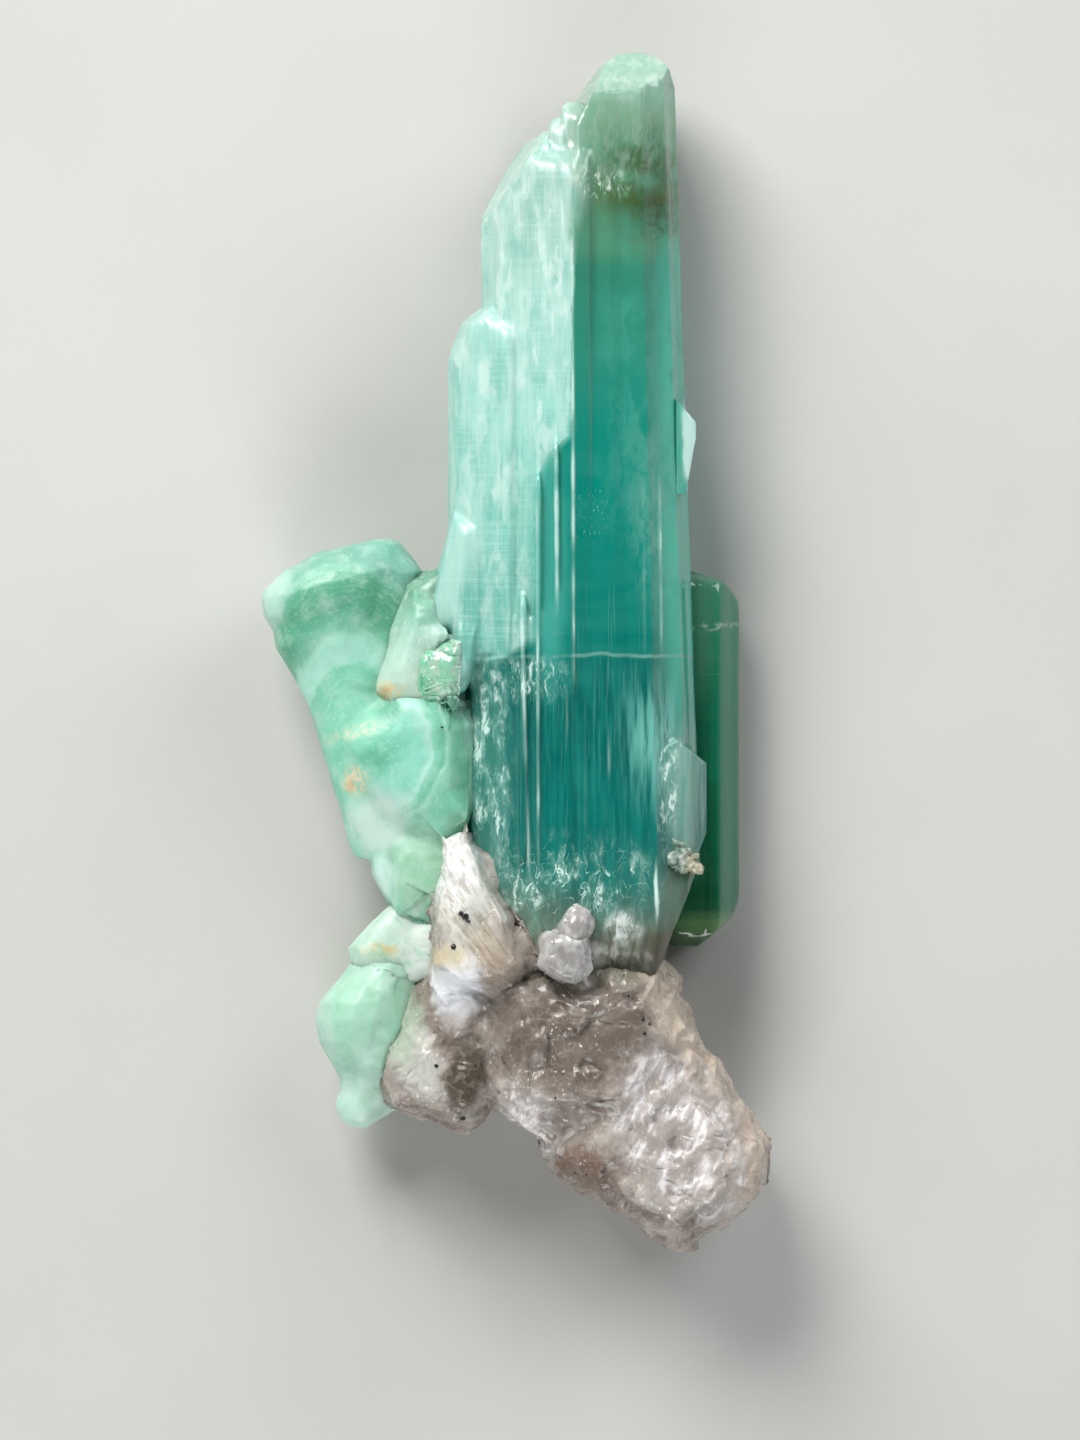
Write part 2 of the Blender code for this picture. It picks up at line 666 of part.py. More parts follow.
LOWER_BLOCK = [
    (14.3, -30.5), (15.9, -32.2), (17.1, -34.6), (17.9, -35.8), (18.4, -37.2), (19.9, -38.3), (19.9, -38.9),
    (19.1, -42.3), (16.2, -44.3), (13.7, -46.4), (12.9, -46.6), (11.5, -44.9), (10.1, -44.1), (8.3, -42.6),
    (6.3, -41.3), (3.9, -40.8), (2.8, -40.0), (1.9, -38.7), (4.0, -34.0), (9.0, -30.0),
]
MIDDLE_BLOCK = [
    (-2.0, -25.0), (4.0, -24.2), (11.2, -23.8), (11.4, -24.6), (12.4, -26.0), (13.4, -28.4), (14.4, -30.5),
    (13.0, -36.0), (6.0, -38.2), (1.6, -37.4), (0.1, -35.9), (-1.6, -35.0), (-3.0, -30.0),
]
LEFT_BLOCK = [
    (-6.6, -24.6), (-7.2, -26.0), (-7.6, -27.4), (-8.9, -29.4), (-9.9, -31.6), (-10.2, -33.2),
    (-9.6, -35.6), (-7.5, -36.1), (-5.0, -36.8), (-3.4, -37.3), (-2.8, -36.9), (-2.5, -36.0),
    (-1.5, -34.9), (0.0, -30.0), (0.6, -25.0),
]
COLLAR = [
    (-2.6, -18.6), (-1.4, -22.0), (-1.4, -26.0), (6.0, -28.5), (12.2, -26.4), (10.7, -24.6), (11.4, -21.8),
    (12.2, -19.2), (12.4, -18.0), (12.0, -17.0), (10.8, -17.0),
]
SPRAY = [
    (-5.3, -14.9), (-4.6, -16.2), (-4.2, -18.4), (-5.4, -18.9), (-6.1, -20.4), (-5.8, -21.3), (-6.4, -23.2),
    (-6.6, -25.6), (0.0, -26.4), (1.5, -24.1), (0.6, -22.0), (-0.3, -20.4), (-1.5, -18.0), (-2.7, -15.6),
    (-3.7, -13.8),
]
SPIKES = [
    # foot, half width, tip, height of the foot
    ((-3.6, -15.4), 0.55, (-3.6, -13.2), 13.3),
    ((-4.6, -16.0), 0.50, (-5.4, -14.5), 12.9),
    ((-4.6, -17.8), 0.45, (-5.6, -16.8), 12.6),
    ((-5.6, -19.6), 0.50, (-6.4, -18.8), 12.2),
]


def spike(foot, half_width, tip, height):
    """One pointed splinter that lies along the front."""
    foot, tip = Vector(foot), Vector(tip)
    along = (tip - foot).normalized()
    side = Vector((-along.y, along.x)) * half_width
    back = foot - along
    wide = [tuple(back + side), tuple(foot + side), tuple(tip), tuple(foot - side), tuple(back - side)]
    return lump("spike", (height - 1.2, wide), (height, shrunk(wide, 0.6)))


def quartz_matrix():
    """The broken quartz that holds the crystals: blocks, a collar round the root and a white spray."""
    rock = lump(
        "quartz_matrix",
        (-0.5, [(9.0, -31.5), (13.4, -33.0), (15.4, -39.0), (12.4, -42.4), (6.4, -39.0), (4.0, -33.0)]),
        (3.4, shrunk(LOWER_BLOCK, 0.94)),
        (7.6, LOWER_BLOCK),
        (11.2, shrunk(LOWER_BLOCK, 0.94)),
        (14.2, [(7.0, -31.0), (12.4, -31.6), (16.2, -37.0), (16.6, -40.4), (12.9, -44.0), (7.0, -40.4)]),
    )
    others = [
        lump(
            "middle_block",
            (1.2, shrunk(MIDDLE_BLOCK, 0.8)),
            (6.6, MIDDLE_BLOCK),
            (12.0, shrunk(MIDDLE_BLOCK, 0.95)),
            (15.2, [(0.6, -27.0), (8.6, -26.6), (11.0, -30.0), (8.4, -34.8), (1.6, -34.0)]),
        ),
        lump(
            "left_block",
            (-0.5, [(-3.0, -28.6), (-5.4, -33.0), (-2.0, -34.0), (0.0, -29.0)]),
            (3.4, shrunk(LEFT_BLOCK, 0.92)),
            (6.8, LEFT_BLOCK),
            (9.6, shrunk(LEFT_BLOCK, 0.96)),
            (12.6, [(-5.2, -26.4), (-6.6, -30.6), (-3.6, -34.8), (-2.0, -33.0), (0.0, -27.0)]),
        ),
        lump(
            "collar",
            (1.0, shrunk(COLLAR, 0.8)),
            (5.0, COLLAR),
            (10.6, shrunk(COLLAR, 0.97)),
            (13.2, [(0.6, -26.0), (9.6, -26.6), (10.8, -25.0), (9.0, -25.2), (6.0, -25.4), (1.6, -25.2)]),
        ),
        lump(
            "spray",
            (6.2, shrunk(SPRAY, 0.85)),
            (11.8, SPRAY),
            (14.2, shrunk(SPRAY, 0.82)),
            (15.6, [(-2.9, -17.4), (-4.4, -22.6), (-3.0, -25.4), (0.2, -24.4), (-1.9, -18.4)]),
        ),
    ]
    boolean(rock, others, "UNION")
    chipped(rock, ROCK_GRAIN, ROCK_CHIP, ROCK_CHIP_WIDTH, ROCK_FACES)
    boolean(rock, [spike(*splinter) for splinter in SPIKES], "UNION")
    return flattened_on_rest(rock)


# ---------------------------------------------------------------- assembly

MATERIALS = {
    # node: colour (linear), roughness
    "main_crystal": ((0.02, 0.36, 0.30), 0.12),
    "side_crystal": ((0.02, 0.15, 0.07), 0.15),
    "pale_crystal": ((0.62, 0.86, 0.74), 0.25),
    "glassy_crystal": ((0.27, 0.62, 0.43), 0.08),
    "flared_crystal": ((0.28, 0.70, 0.52), 0.22),
    "wedge_crystal": ((0.70, 0.92, 0.78), 0.25),
    "rounded_crystal": ((0.46, 0.78, 0.60), 0.25),
    "quartz_crystal": ((0.55, 0.58, 0.56), 0.2),
    "druse": ((0.60, 0.58, 0.50), 0.3),
    "quartz_matrix": ((0.36, 0.30, 0.26), 0.45),
}


# Pieces whose gentle edges are shaded smooth, with the angle in degrees below which an edge is gentle.
ROUND_PIECES = {"flared_crystal": 35, "wedge_crystal": 20, "rounded_crystal": 40}


def finish(obj, smooth_under):
    """Gives the piece its material and its shading."""
    colour, roughness = MATERIALS[obj.name]
    material = bpy.data.materials.new(obj.name)
    material.use_nodes = True
    shader = material.node_tree.nodes["Principled BSDF"]
    shader.inputs["Base Color"].default_value = (*colour, 1)
    shader.inputs["Roughness"].default_value = roughness
    shader.inputs["Metallic"].default_value = 0.0
    obj.data.materials.clear()
    obj.data.materials.append(material)
    if smooth_under:
        obj.data.shade_smooth()
        obj.data.set_sharp_from_angle(angle=math.radians(smooth_under))


def place(pieces):
    """Moves the specimen so that the middle of its box is over the origin, and scales it to metres."""
    points = [vertex.co for piece in pieces for vertex in piece.data.vertices]
    middle_x = (min(p.x for p in points) + max(p.x for p in points)) / 2
    middle_y = (min(p.y for p in points) + max(p.y for p in points)) / 2
    move = Matrix.Scale(MM, 4) @ Matrix.Translation((-middle_x, -middle_y, 0))
    for piece in pieces:
        piece.data.transform(move)


def build():
    clear_scene()
    main = main_crystal()
    main.name = "main_crystal"
    side = side_crystal()
    glassy = glassy_crystal()
    pale = boolean(pale_crystal(), [swollen(glassy)], "DIFFERENCE")
    flared = boolean(flared_crystal(), [main_crystal(GAP), socket_for(pale)], "DIFFERENCE")
    rounded = rounded_crystal()
    wedge = boolean(wedge_crystal(), [swollen(flared), swollen(rounded)], "DIFFERENCE")
    small_quartz = quartz_crystal()
    crust = druse()
    matrix = quartz_matrix()
    neighbours = [side, pale, flared, rounded, wedge]
    sockets = [swollen(piece) for piece in neighbours] + [socket_for(small_quartz), socket_for(crust)]
    boolean(matrix, [main_crystal(GAP)] + sockets, "DIFFERENCE")
    pieces = [main, glassy, small_quartz, crust, matrix] + neighbours
    for piece in pieces:
        finish(main_body(piece), ROUND_PIECES.get(piece.name, 0.0))
    place(pieces)


build()
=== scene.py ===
# %% [markdown]
# # A tourmaline specimen: green crystals on quartz
#
# The real thing is a bundle of blue-green tourmaline prisms grown from a broken lump of quartz,
# with milky green crystals at its left and a deep green one at its right. It lies on its flat back.
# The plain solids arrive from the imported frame. Each is copied, given finer relief and a material
# made of nodes, and then stands in for the plain solid. +Y runs along the main crystal to its tip.

import json
import math
import random
from contextlib import contextmanager
from functools import reduce

import bpy
from mathutils import Matrix, Vector, noise
from mathutils.bvhtree import BVHTree

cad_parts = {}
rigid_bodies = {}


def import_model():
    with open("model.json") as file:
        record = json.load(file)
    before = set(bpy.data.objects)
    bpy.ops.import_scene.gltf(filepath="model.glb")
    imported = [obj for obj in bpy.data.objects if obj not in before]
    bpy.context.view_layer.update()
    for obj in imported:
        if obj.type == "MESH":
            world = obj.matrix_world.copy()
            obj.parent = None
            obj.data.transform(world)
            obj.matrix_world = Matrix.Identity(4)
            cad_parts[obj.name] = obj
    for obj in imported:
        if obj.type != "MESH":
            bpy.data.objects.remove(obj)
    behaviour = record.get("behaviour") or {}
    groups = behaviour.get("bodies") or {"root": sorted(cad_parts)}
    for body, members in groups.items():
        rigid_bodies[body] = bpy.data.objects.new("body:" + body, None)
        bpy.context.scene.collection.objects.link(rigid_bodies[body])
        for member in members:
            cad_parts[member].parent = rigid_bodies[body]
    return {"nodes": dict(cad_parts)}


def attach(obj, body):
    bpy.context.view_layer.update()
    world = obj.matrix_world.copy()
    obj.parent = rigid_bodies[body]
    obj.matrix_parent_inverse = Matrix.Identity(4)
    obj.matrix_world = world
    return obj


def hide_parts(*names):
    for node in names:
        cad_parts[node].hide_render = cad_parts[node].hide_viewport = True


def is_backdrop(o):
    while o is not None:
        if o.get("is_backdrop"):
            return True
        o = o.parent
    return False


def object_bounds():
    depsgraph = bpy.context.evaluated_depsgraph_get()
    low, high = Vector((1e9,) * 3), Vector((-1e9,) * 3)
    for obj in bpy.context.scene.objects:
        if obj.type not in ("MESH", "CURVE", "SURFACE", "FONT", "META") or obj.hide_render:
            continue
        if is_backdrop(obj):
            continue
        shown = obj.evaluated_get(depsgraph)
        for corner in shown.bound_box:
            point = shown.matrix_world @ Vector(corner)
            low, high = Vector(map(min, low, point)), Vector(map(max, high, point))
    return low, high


MM = 0.001

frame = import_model()
cad_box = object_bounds()
print("plain solids:", sorted(frame["nodes"]))
print("size in mm:", [round((high - low) / MM, 1) for low, high in zip(*cad_box)])

# %% [markdown]
# ## Camera, floor and light
#
# The camera looks straight down on the lying crystal through a long lens, so that near and far
# faces keep the same scale. The floor is a plain pale sheet, lit by three large soft panels, the
# strongest at the upper left. Clear stone shows its surroundings: the room is pale near the floor,
# which makes edges glow, and dark overhead, so that no bright mirror image veils the flat faces.
# The long faces tilt to the left and right only, so panels beyond the two ends of the crystal
# light them without being mirrored in them.

# %% Camera
FRAME_LENGTH = 111.6 * MM  # the long side of the picture, measured in the plane of the crystals
FRAME_CENTRE = Vector((1.88, -5.37, 7.0)) * MM


def new_object(name, data):
    """An object with that data, put into the scene."""
    made = bpy.data.objects.new(name, data)
    bpy.context.scene.collection.objects.link(made)
    return made


camera_data = bpy.data.cameras.new("camera")
camera_data.lens = 200
camera_data.sensor_width = 36
camera = new_object("camera", camera_data)
camera_height = FRAME_LENGTH * camera_data.lens / camera_data.sensor_width
camera.location = FRAME_CENTRE + Vector((0, 0, camera_height))
bpy.context.scene.camera = camera
print("camera height in mm:", round(camera.location.z / MM))


# %% Floor
def deselect_all():
    """Leaves no object selected."""
    for chosen in list(bpy.context.selected_objects):
        chosen.select_set(False)


def pick(obj):
    """Makes one object the selected and active one."""
    deselect_all()
    obj.select_set(True)
    bpy.context.view_layer.objects.active = obj


deselect_all()
bpy.ops.mesh.primitive_plane_add(size=2.4, location=(0, 0, -0.02 * MM))
floor = bpy.context.active_object
floor.name = "floor"
floor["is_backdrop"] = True

# %% Lights
LIGHTS = [
    # name, place in metres, size, power, colour
    ("key_panel", (-0.24, 0.44, 0.38), 0.34, 5.6, (1.0, 0.985, 0.96)),
    ("fill_panel", (0.38, 0.34, 0.34), 0.34, 1.6, (0.94, 0.97, 1.0)),
    ("end_panel", (-0.05, -0.50, 0.28), 0.34, 1.9, (1.0, 1.0, 1.0)),
]
for name, place, size, power, colour in LIGHTS:
    panel = bpy.data.lights.new(name, "AREA")
    panel.shape = "SQUARE"
    panel.size = size
    panel.energy = power
    panel.color = colour
    holder = new_object(name, panel)
    holder.location = place
    holder.rotation_euler = (-Vector(place)).to_track_quat("-Z", "Y").to_euler()

world = bpy.data.worlds.new("pale_room")
world.use_nodes = True
bpy.context.scene.world = world
bpy.context.scene.view_settings.view_transform = "Standard"
print("lights:", [row[0] for row in LIGHTS])

# %% [markdown]
# ## Tools for materials
#
# A material is a small network of nodes. One function adds any node: its inputs are given either a
# value or another node's output. All patterns are laid out in millimetres on Object coordinates,
# so they stay where they are on the stone.


# %% One function that adds a node
def linear(hex_colour):
    """An sRGB hex colour as the linear values that Blender works in."""
    shares = [int(hex_colour[i : i + 2], 16) / 255 for i in (0, 2, 4)]
    values = [s / 12.92 if s <= 0.04045 else ((s + 0.055) / 1.055) ** 2.4 for s in shares]
    return (*values, 1.0)


def node(tree, kind, inputs=None, out=0, stops=None, curve=None, **settings):
    """Adds a node and returns its output number `out`. Hex strings become linear colours."""
    made = tree.nodes.new("ShaderNode" + kind)
    for name, value in settings.items():
        setattr(made, name, value)
    for i, (position, colour) in enumerate(stops or []):
        stop = made.color_ramp.elements[i] if i < 2 else made.color_ramp.elements.new(position)
        stop.position = position
        stop.color = linear(colour)
    for i, (across, up) in enumerate(curve or []):
        line = made.mapping.curves[0].points
        point = line[i] if i < 2 else line.new(across, up)
        point.location = (across, up)
        point.handle_type = "VECTOR"
    if curve:
        made.mapping.update()
    for name, value in (inputs or {}).items():
        if isinstance(value, bpy.types.NodeSocket):
            tree.links.new(value, made.inputs[name])
        else:
            made.inputs[name].default_value = linear(value) if isinstance(value, str) else value
    return made.outputs[out] if made.outputs else made


# %% Start and end of a material
def new_material(name, piece):
    """Gives the piece an empty material, and returns the place in millimetres."""
    material = bpy.data.materials.new(name)
    material.use_nodes = True
    material.node_tree.nodes.clear()
    piece.data.materials.append(material)
    metres = node(material.node_tree, "TexCoord", out=3)
    return node(material.node_tree, "Mapping", {"Vector": metres, "Scale": (1000, 1000, 1000)})


def finish_material(colour, rough, index, clear=0.0, spread=None, bump=None, absorbs=None):
    """Joins the shader, and for clear stone its even absorption, to the output.

    clear: share of light that passes straight through. spread: share that spreads inside, how far
    red, green and blue go, and the unit in mm. absorbs: colour let through, density per metre.
    """
    tree = colour.id_data
    surface = {"Base Color": colour, "Roughness": rough, "IOR": index, "Transmission Weight": clear}
    if spread:
        share, distances, unit = spread
        surface["Subsurface Weight"] = share
        surface["Subsurface Radius"] = distances
        surface["Subsurface Scale"] = unit * MM
    if bump:
        surface["Normal"] = bump
    ends = {"Surface": node(tree, "BsdfPrincipled", surface)}
    if absorbs:
        passing, density = absorbs
        ends["Volume"] = node(tree, "VolumeAbsorption", {"Color": passing, "Density": density})
    node(tree, "OutputMaterial", ends)


# %% Small helpers: each takes node outputs and adds to the network that they belong to
def maths(operation, *values):
    """One Math node for those values."""
    tree = next(value.id_data for value in values if isinstance(value, bpy.types.NodeSocket))
    return node(tree, "Math", dict(enumerate(values)), operation=operation)


def along(place, axis):
    """One coordinate of a place: x, y or z."""
    return node(place.id_data, "SeparateXYZ", {0: place}, out="xyz".index(axis))


def rescaled(value, low, high, start=0.0, end=1.0, eased=False):
    """Maps low to high onto start to end and stops there, with soft ends if `eased`."""
    limits = {"Value": value, "From Min": low, "From Max": high, "To Min": start, "To Max": end}
    way = "SMOOTHSTEP" if eased else "LINEAR"
    return node(value.id_data, "MapRange", limits, interpolation_type=way)


def ramp(share, stops):
    """A colour ramp: `stops` is a list of (share, hex colour)."""
    return node(share.id_data, "ValToRGB", {0: share}, stops=stops)


def bumped(height, strength, depth):
    """Relief for the light alone, `depth` millimetres deep."""
    inputs = {"Height": height, "Strength": strength, "Distance": depth * MM}
    return node(height.id_data, "Bump", inputs)


def both(*shares):
    """The product of several shares: strong only where all of them are."""
    return reduce(lambda product, share: maths("MULTIPLY", product, share), shares)


def strongest(*shares):
    """The largest of several shares."""
    return reduce(lambda largest, share: maths("MAXIMUM", largest, share), shares)


def painted(colour, layers):
    """Lays colours over each other: each layer is a colour and one or more shares, multiplied."""
    for over, *shares in layers:
        mix = {0: both(*shares), 6: colour, 7: over}
        colour = node(shares[0].id_data, "Mix", mix, out=2, data_type="RGBA")
    return colour


# %% Patterns in millimetres
def scaled_place(place, size, turn=0.0):
    """The place in a space where one unit is `size` millimetres in x, y and z."""
    inputs = {"Vector": place, "Scale": size, "Rotation": (0, 0, turn)}
    return node(place.id_data, "Mapping", inputs, vector_type="TEXTURE")


def grain(place, size, detail=3.0, turn=0.0):
    """Soft random grain, about `size` millimetres in x, y and z."""
    inputs = {"Vector": scaled_place(place, size, turn), "Scale": 1.0}
    inputs.update({"Detail": detail, "Roughness": 0.55})
    return node(place.id_data, "TexNoise", inputs)


def marks(place, size, low, high, detail=3.0, turn=0.0):
    """Spots where that grain is strong: 0 below `low`, 1 above `high`."""
    return rescaled(grain(place, size, detail, turn), low, high, eased=True)


def shaken(place, size, amount):
    """The place with a wobble of about `amount` millimetres, so that borders aren't ruled lines."""
    tree = place.id_data
    spread = {"Vector": scaled_place(place, size), "Scale": 1.0, "Detail": 2.0}
    colour = node(tree, "TexNoise", spread, out=1)
    centred = node(tree, "VectorMath", {0: colour, 1: (0.5, 0.5, 0.5)}, operation="SUBTRACT")
    wobble = node(tree, "VectorMath", {0: centred, "Scale": amount * 3}, operation="SCALE")
    return node(tree, "VectorMath", {0: place, 1: wobble}, operation="ADD")


ENDLESS = 1e5  # mm, a radius so large that the place along it makes no difference


def oval_reach(place, centre, radii, turn=0.0):
    """How far out a place is in an upright oval cylinder: 0 on its axis, 1 on its wall."""
    oval = {"Location": (*centre, 0), "Scale": (*radii, ENDLESS), "Rotation": (0, 0, turn)}
    local = node(place.id_data, "Mapping", {"Vector": place, **oval}, vector_type="TEXTURE")
    return node(place.id_data, "VectorMath", {0: local}, out=1, operation="LENGTH")


def patch(place, centre, radii, soft=0.35, turn=0.0):
    """1 inside an oval of those radii in the XY plane, at any depth, fading over `soft`."""
    return rescaled(oval_reach(place, centre, radii, turn), 1 + soft, 1 - soft, eased=True)


def threads(place, size, half_width):
    """Thin curved lines: the places where soft grain crosses its middle value."""
    off = maths("SUBTRACT", grain(place, size, detail=1.0), 0.5)
    return rescaled(maths("ABSOLUTE", off), half_width, half_width * 0.2)


# %% Materials of the room and the floor
room = world.node_tree
room.nodes.clear()
upwards = along(node(room, "TexCoord"), "z")
glow = ramp(upwards, [(0.0, "d2d5d8"), (0.3, "a4a8ac"), (0.6, "4a4c4f"), (1.0, "2c2d2f")])
node(room, "OutputWorld", {"Surface": node(room, "Background", {"Color": glow, "Strength": 0.95})})

place = new_material("pale_paper", floor)
tone = ramp(grain(place, (40, 40, 40)), [(0.3, "bbbbb7"), (0.7, "c2c2be")])
finish_material(tone, 0.75, 1.5)
print("floor material ready")

# %% [markdown]
# ## Relief tools
#
# A grown crystal has flat faces with crisp edges and fine ridges along its length. Its copy is cut
# into a fine grid by planes, which keeps the edges, and its points are then moved along their
# normals. Milky stones have no flat faces: their copies are rebuilt from small cubes (a voxel
# remesh) and smoothed. The real stones are grown together, so where two of them meet, the points
# of one are drawn onto the other and no gap is left between them.


# %% Copy, cut and rebuild
@contextmanager
def editing(obj):
    """Edit mode for one object, with everything selected."""
    pick(obj)
    bpy.ops.object.mode_set(mode="EDIT")
    bpy.ops.mesh.select_all(action="SELECT")
    yield
    bpy.ops.object.mode_set(mode="OBJECT")


def smoothed(obj, steps, group=""):
    """Smooths the mesh, or the part of it in one vertex group."""
    smooth = obj.modifiers.new("smooth", "SMOOTH")
    smooth.factor = 0.5
    smooth.iterations = steps
    smooth.vertex_group = group
    bpy.ops.object.modifier_apply(modifier=smooth.name)


def dressed_copy(node_name, name):
    """A copy of a plain solid, merged into one closed mesh, which then stands in for it."""
    mesh = frame["nodes"][node_name].data.copy()
    mesh.materials.clear()
    copy = new_object(name, mesh)
    with editing(copy):
        bpy.ops.mesh.remove_doubles(threshold=0.001 * MM)
    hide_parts(node_name)
    return copy


FIRST_CUT = 0.53  # share of a step, off the round places where the solid's own corners may lie


def cut_into_grid(obj, pitches):
    """Cuts the mesh by planes across x, y and z, `pitches` millimetres apart."""
    corners = [tuple(corner) for corner in obj.bound_box]
    with editing(obj):
        for axis in (0, 2, 1):
            step = pitches[axis] * MM
            low = min(corner[axis] for corner in corners)
            high = max(corner[axis] for corner in corners)
            normal = [0, 0, 0]
            normal[axis] = 1
            for i in range(int((high - low) / step) + 1):
                point = [0, 0, 0]
                point[axis] = low + (i + FIRST_CUT) * step
                bpy.ops.mesh.select_all(action="SELECT")
                bpy.ops.mesh.bisect(plane_co=point, plane_no=normal)


def rebuilt(obj, cube, smoothing, mend=True):
    """Rebuilds the mesh from cubes of `cube` millimetres and smooths it."""
    pick(obj)
    remesh = obj.modifiers.new("rebuild", "REMESH")
    remesh.mode = "VOXEL"
    remesh.voxel_size = cube * MM
    bpy.ops.object.modifier_apply(modifier=remesh.name)
    smoothed(obj, smoothing)
    if not mend:
        return
    # The cubes leave a few pinched spots, which would show as dark dots: they are smoothed away.
    with editing(obj):
        bpy.ops.mesh.select_mode(type="VERT")
        bpy.ops.mesh.select_all(action="DESELECT")
        bpy.ops.mesh.edges_select_sharp(sharpness=math.radians(25))
        bpy.ops.mesh.select_more()
        bpy.ops.mesh.select_more()
        bpy.ops.mesh.vertices_smooth(factor=0.5, repeat=20)


def grown_onto(obj, neighbours, reach, overlap=0.12):
    """Draws points within `reach` millimetres of a neighbour onto it, so that the two touch."""
    for name in neighbours:
        solid = frame["nodes"][name].data
        faces = [tuple(face.vertices) for face in solid.polygons]
        skin = BVHTree.FromPolygons([point.co for point in solid.vertices], faces)
        for point in obj.data.vertices:
            nearest, normal, _, distance = skin.find_nearest(point.co, reach * MM)
            if nearest is None or (nearest - point.co).dot(normal) > 0:
                continue
            share = (1 - (distance / (reach * MM)) ** 2) ** 0.5
            point.co += (nearest - point.co) * share - normal * (overlap * share * MM)
    obj.data.update()


def softened(obj, share, steps):
    """Smooths the mesh where share(place in millimetres, normal) is above 0."""
    pick(obj)
    group = obj.vertex_groups.new(name="soft")
    for point in obj.data.vertices:
        weight = share(point.co / MM, point.normal)
        if weight > 0:
            group.add([point.index], weight, "REPLACE")
    smoothed(obj, steps, "soft")
    obj.vertex_groups.clear()


def relieved(obj, height):
    """Moves points along their normals by height(place in mm, normal), but not into the floor."""
    points = obj.data.vertices
    normals = [point.normal.copy() for point in points]
    for point, normal in zip(points, normals):
        point.co += normal * (height(point.co / MM, normal) * MM)
        point.co.z = max(point.co.z, 0.0)
    obj.data.update()


def shaded(obj, edge_angle):
    """Smooth shading that keeps every edge sharper than `edge_angle` degrees crisp."""
    pick(obj)
    bpy.ops.object.shade_smooth_by_angle(angle=math.radians(edge_angle))
    obj.data.calc_loop_triangles()
    print(obj.name, len(obj.data.loop_triangles), "triangles")


def ripple(place, size, seed):
    """Random height from -1 to 1, whose waves are about `size` millimetres in x, y and z."""
    return noise.noise(Vector((place[0] / size[0] + seed, place[1] / size[1], place[2] / size[2])))


# %% [markdown]
# ## The main crystal
#
# Elbaite tourmaline grows as a bundle of prisms with ridges along their length. The finest are
# far too thin for a mesh and go into the material, those of a tenth of a millimetre and more
# are real relief. A few of them catch the light as long bright lines, so each has its own place.
# How bright a ridge is goes into the mesh as an attribute, and the material reads it
# to paint a pale highlight along the ridge.

# %% Ridges of the main crystal
BRIGHT_RIDGES = [
    # x and y at the upper end, x and y at the lower end, half width, height, in mm
    (4.36, 32.5, 4.46, -3.2, 0.13, 0.16),
    (3.10, 16.2, 3.22, 2.2, 0.16, 0.17),
    (0.42, 5.2, 1.05, -18.0, 0.15, 0.14),
    (1.66, 12.5, 1.78, -18.5, 0.12, 0.12),
    (11.05, 14.2, 11.20, -0.8, 0.12, 0.13),
    (9.80, 14.0, 9.90, -1.0, 0.12, 0.06),
    (3.95, -2.0, 3.95, -8.0, 0.10, 0.08),
    (7.10, -5.2, 7.20, -11.0, 0.12, 0.08),
    (8.30, -5.0, 8.40, -9.5, 0.12, 0.05),
    (5.30, -3.6, 5.35, -15.0, 0.10, 0.06),
    (14.50, -7.8, 14.40, -14.8, 0.12, 0.08),
    (10.90, -16.6, 10.75, -20.6, 0.16, 0.12),
    (-2.60, 34.0, -2.62, 28.5, 0.30, 0.08),
    (-0.30, 23.5, -0.25, 14.0, 0.35, 0.08),
    (2.20, 34.0, 2.30, 24.0, 0.25, 0.08),
    (3.40, 36.0, 3.90, 29.0, 0.20, 0.10),
]


def window(value, low, high, soft):
    """1 between low and high, fading to 0 over `soft` at both ends."""
    rise = min(max((value - low) / soft, 0), 1)
    fall = min(max((high - value) / soft, 0), 1)
    return rise * fall


def bright_ridge(place, normal):
    """The height in mm of the bright ridge at this place on the front, or 0."""
    if normal.z < 0.1:
        return 0.0
    total = 0.0
    for x_top, y_top, x_low, y_low, half_width, height in BRIGHT_RIDGES:
        if not y_low < place.y < y_top:
            continue
        share = (place.y - y_low) / (y_top - y_low)
        off = (place.x - (x_low + (x_top - x_low) * share)) / half_width
        if abs(off) < 3:
            broken = max(0.7 + 0.7 * noise.noise(Vector((place.y / 2.4, x_top, 0))), 0.1)
            total += height * math.exp(-off * off) * window(place.y, y_low, y_top, 2.0) * broken
    return total


ROOT_Y = -21  # mm, the crystal is rough below this place
FRONT_Z = 9.5  # mm, everything above it belongs to the front


def prism_relief(place, normal):
    """Ridges along the prism: they vary across it quickly and along it slowly."""
    across = abs(normal.z)
    side = abs(normal.x)
    front = 0.03 * ripple(place, (1.6, 22, 900), 3.1) + 0.012 * ripple(place, (0.45, 9, 900), 8.7)
    flank = 0.05 * ripple(place, (900, 22, 1.0), 5.3) + 0.03 * ripple(place, (900, 9, 0.5), 1.9)
    wave = 0.02 * ripple(place, (3.0, 4.5, 3.0), 6.6)
    if place.y < ROOT_Y:
        wave += 0.16 * ripple(place, (0.6, 1.6, 0.8), 15.5) * min(ROOT_Y - place.y, 1)
    return across * front + side * flank + wave + 0.6 * bright_ridge(place, normal)


def on_front(place, normal):
    """Whether a point is on the front, and doesn't face down."""
    return place.z >= FRONT_Z and normal.z >= -0.2


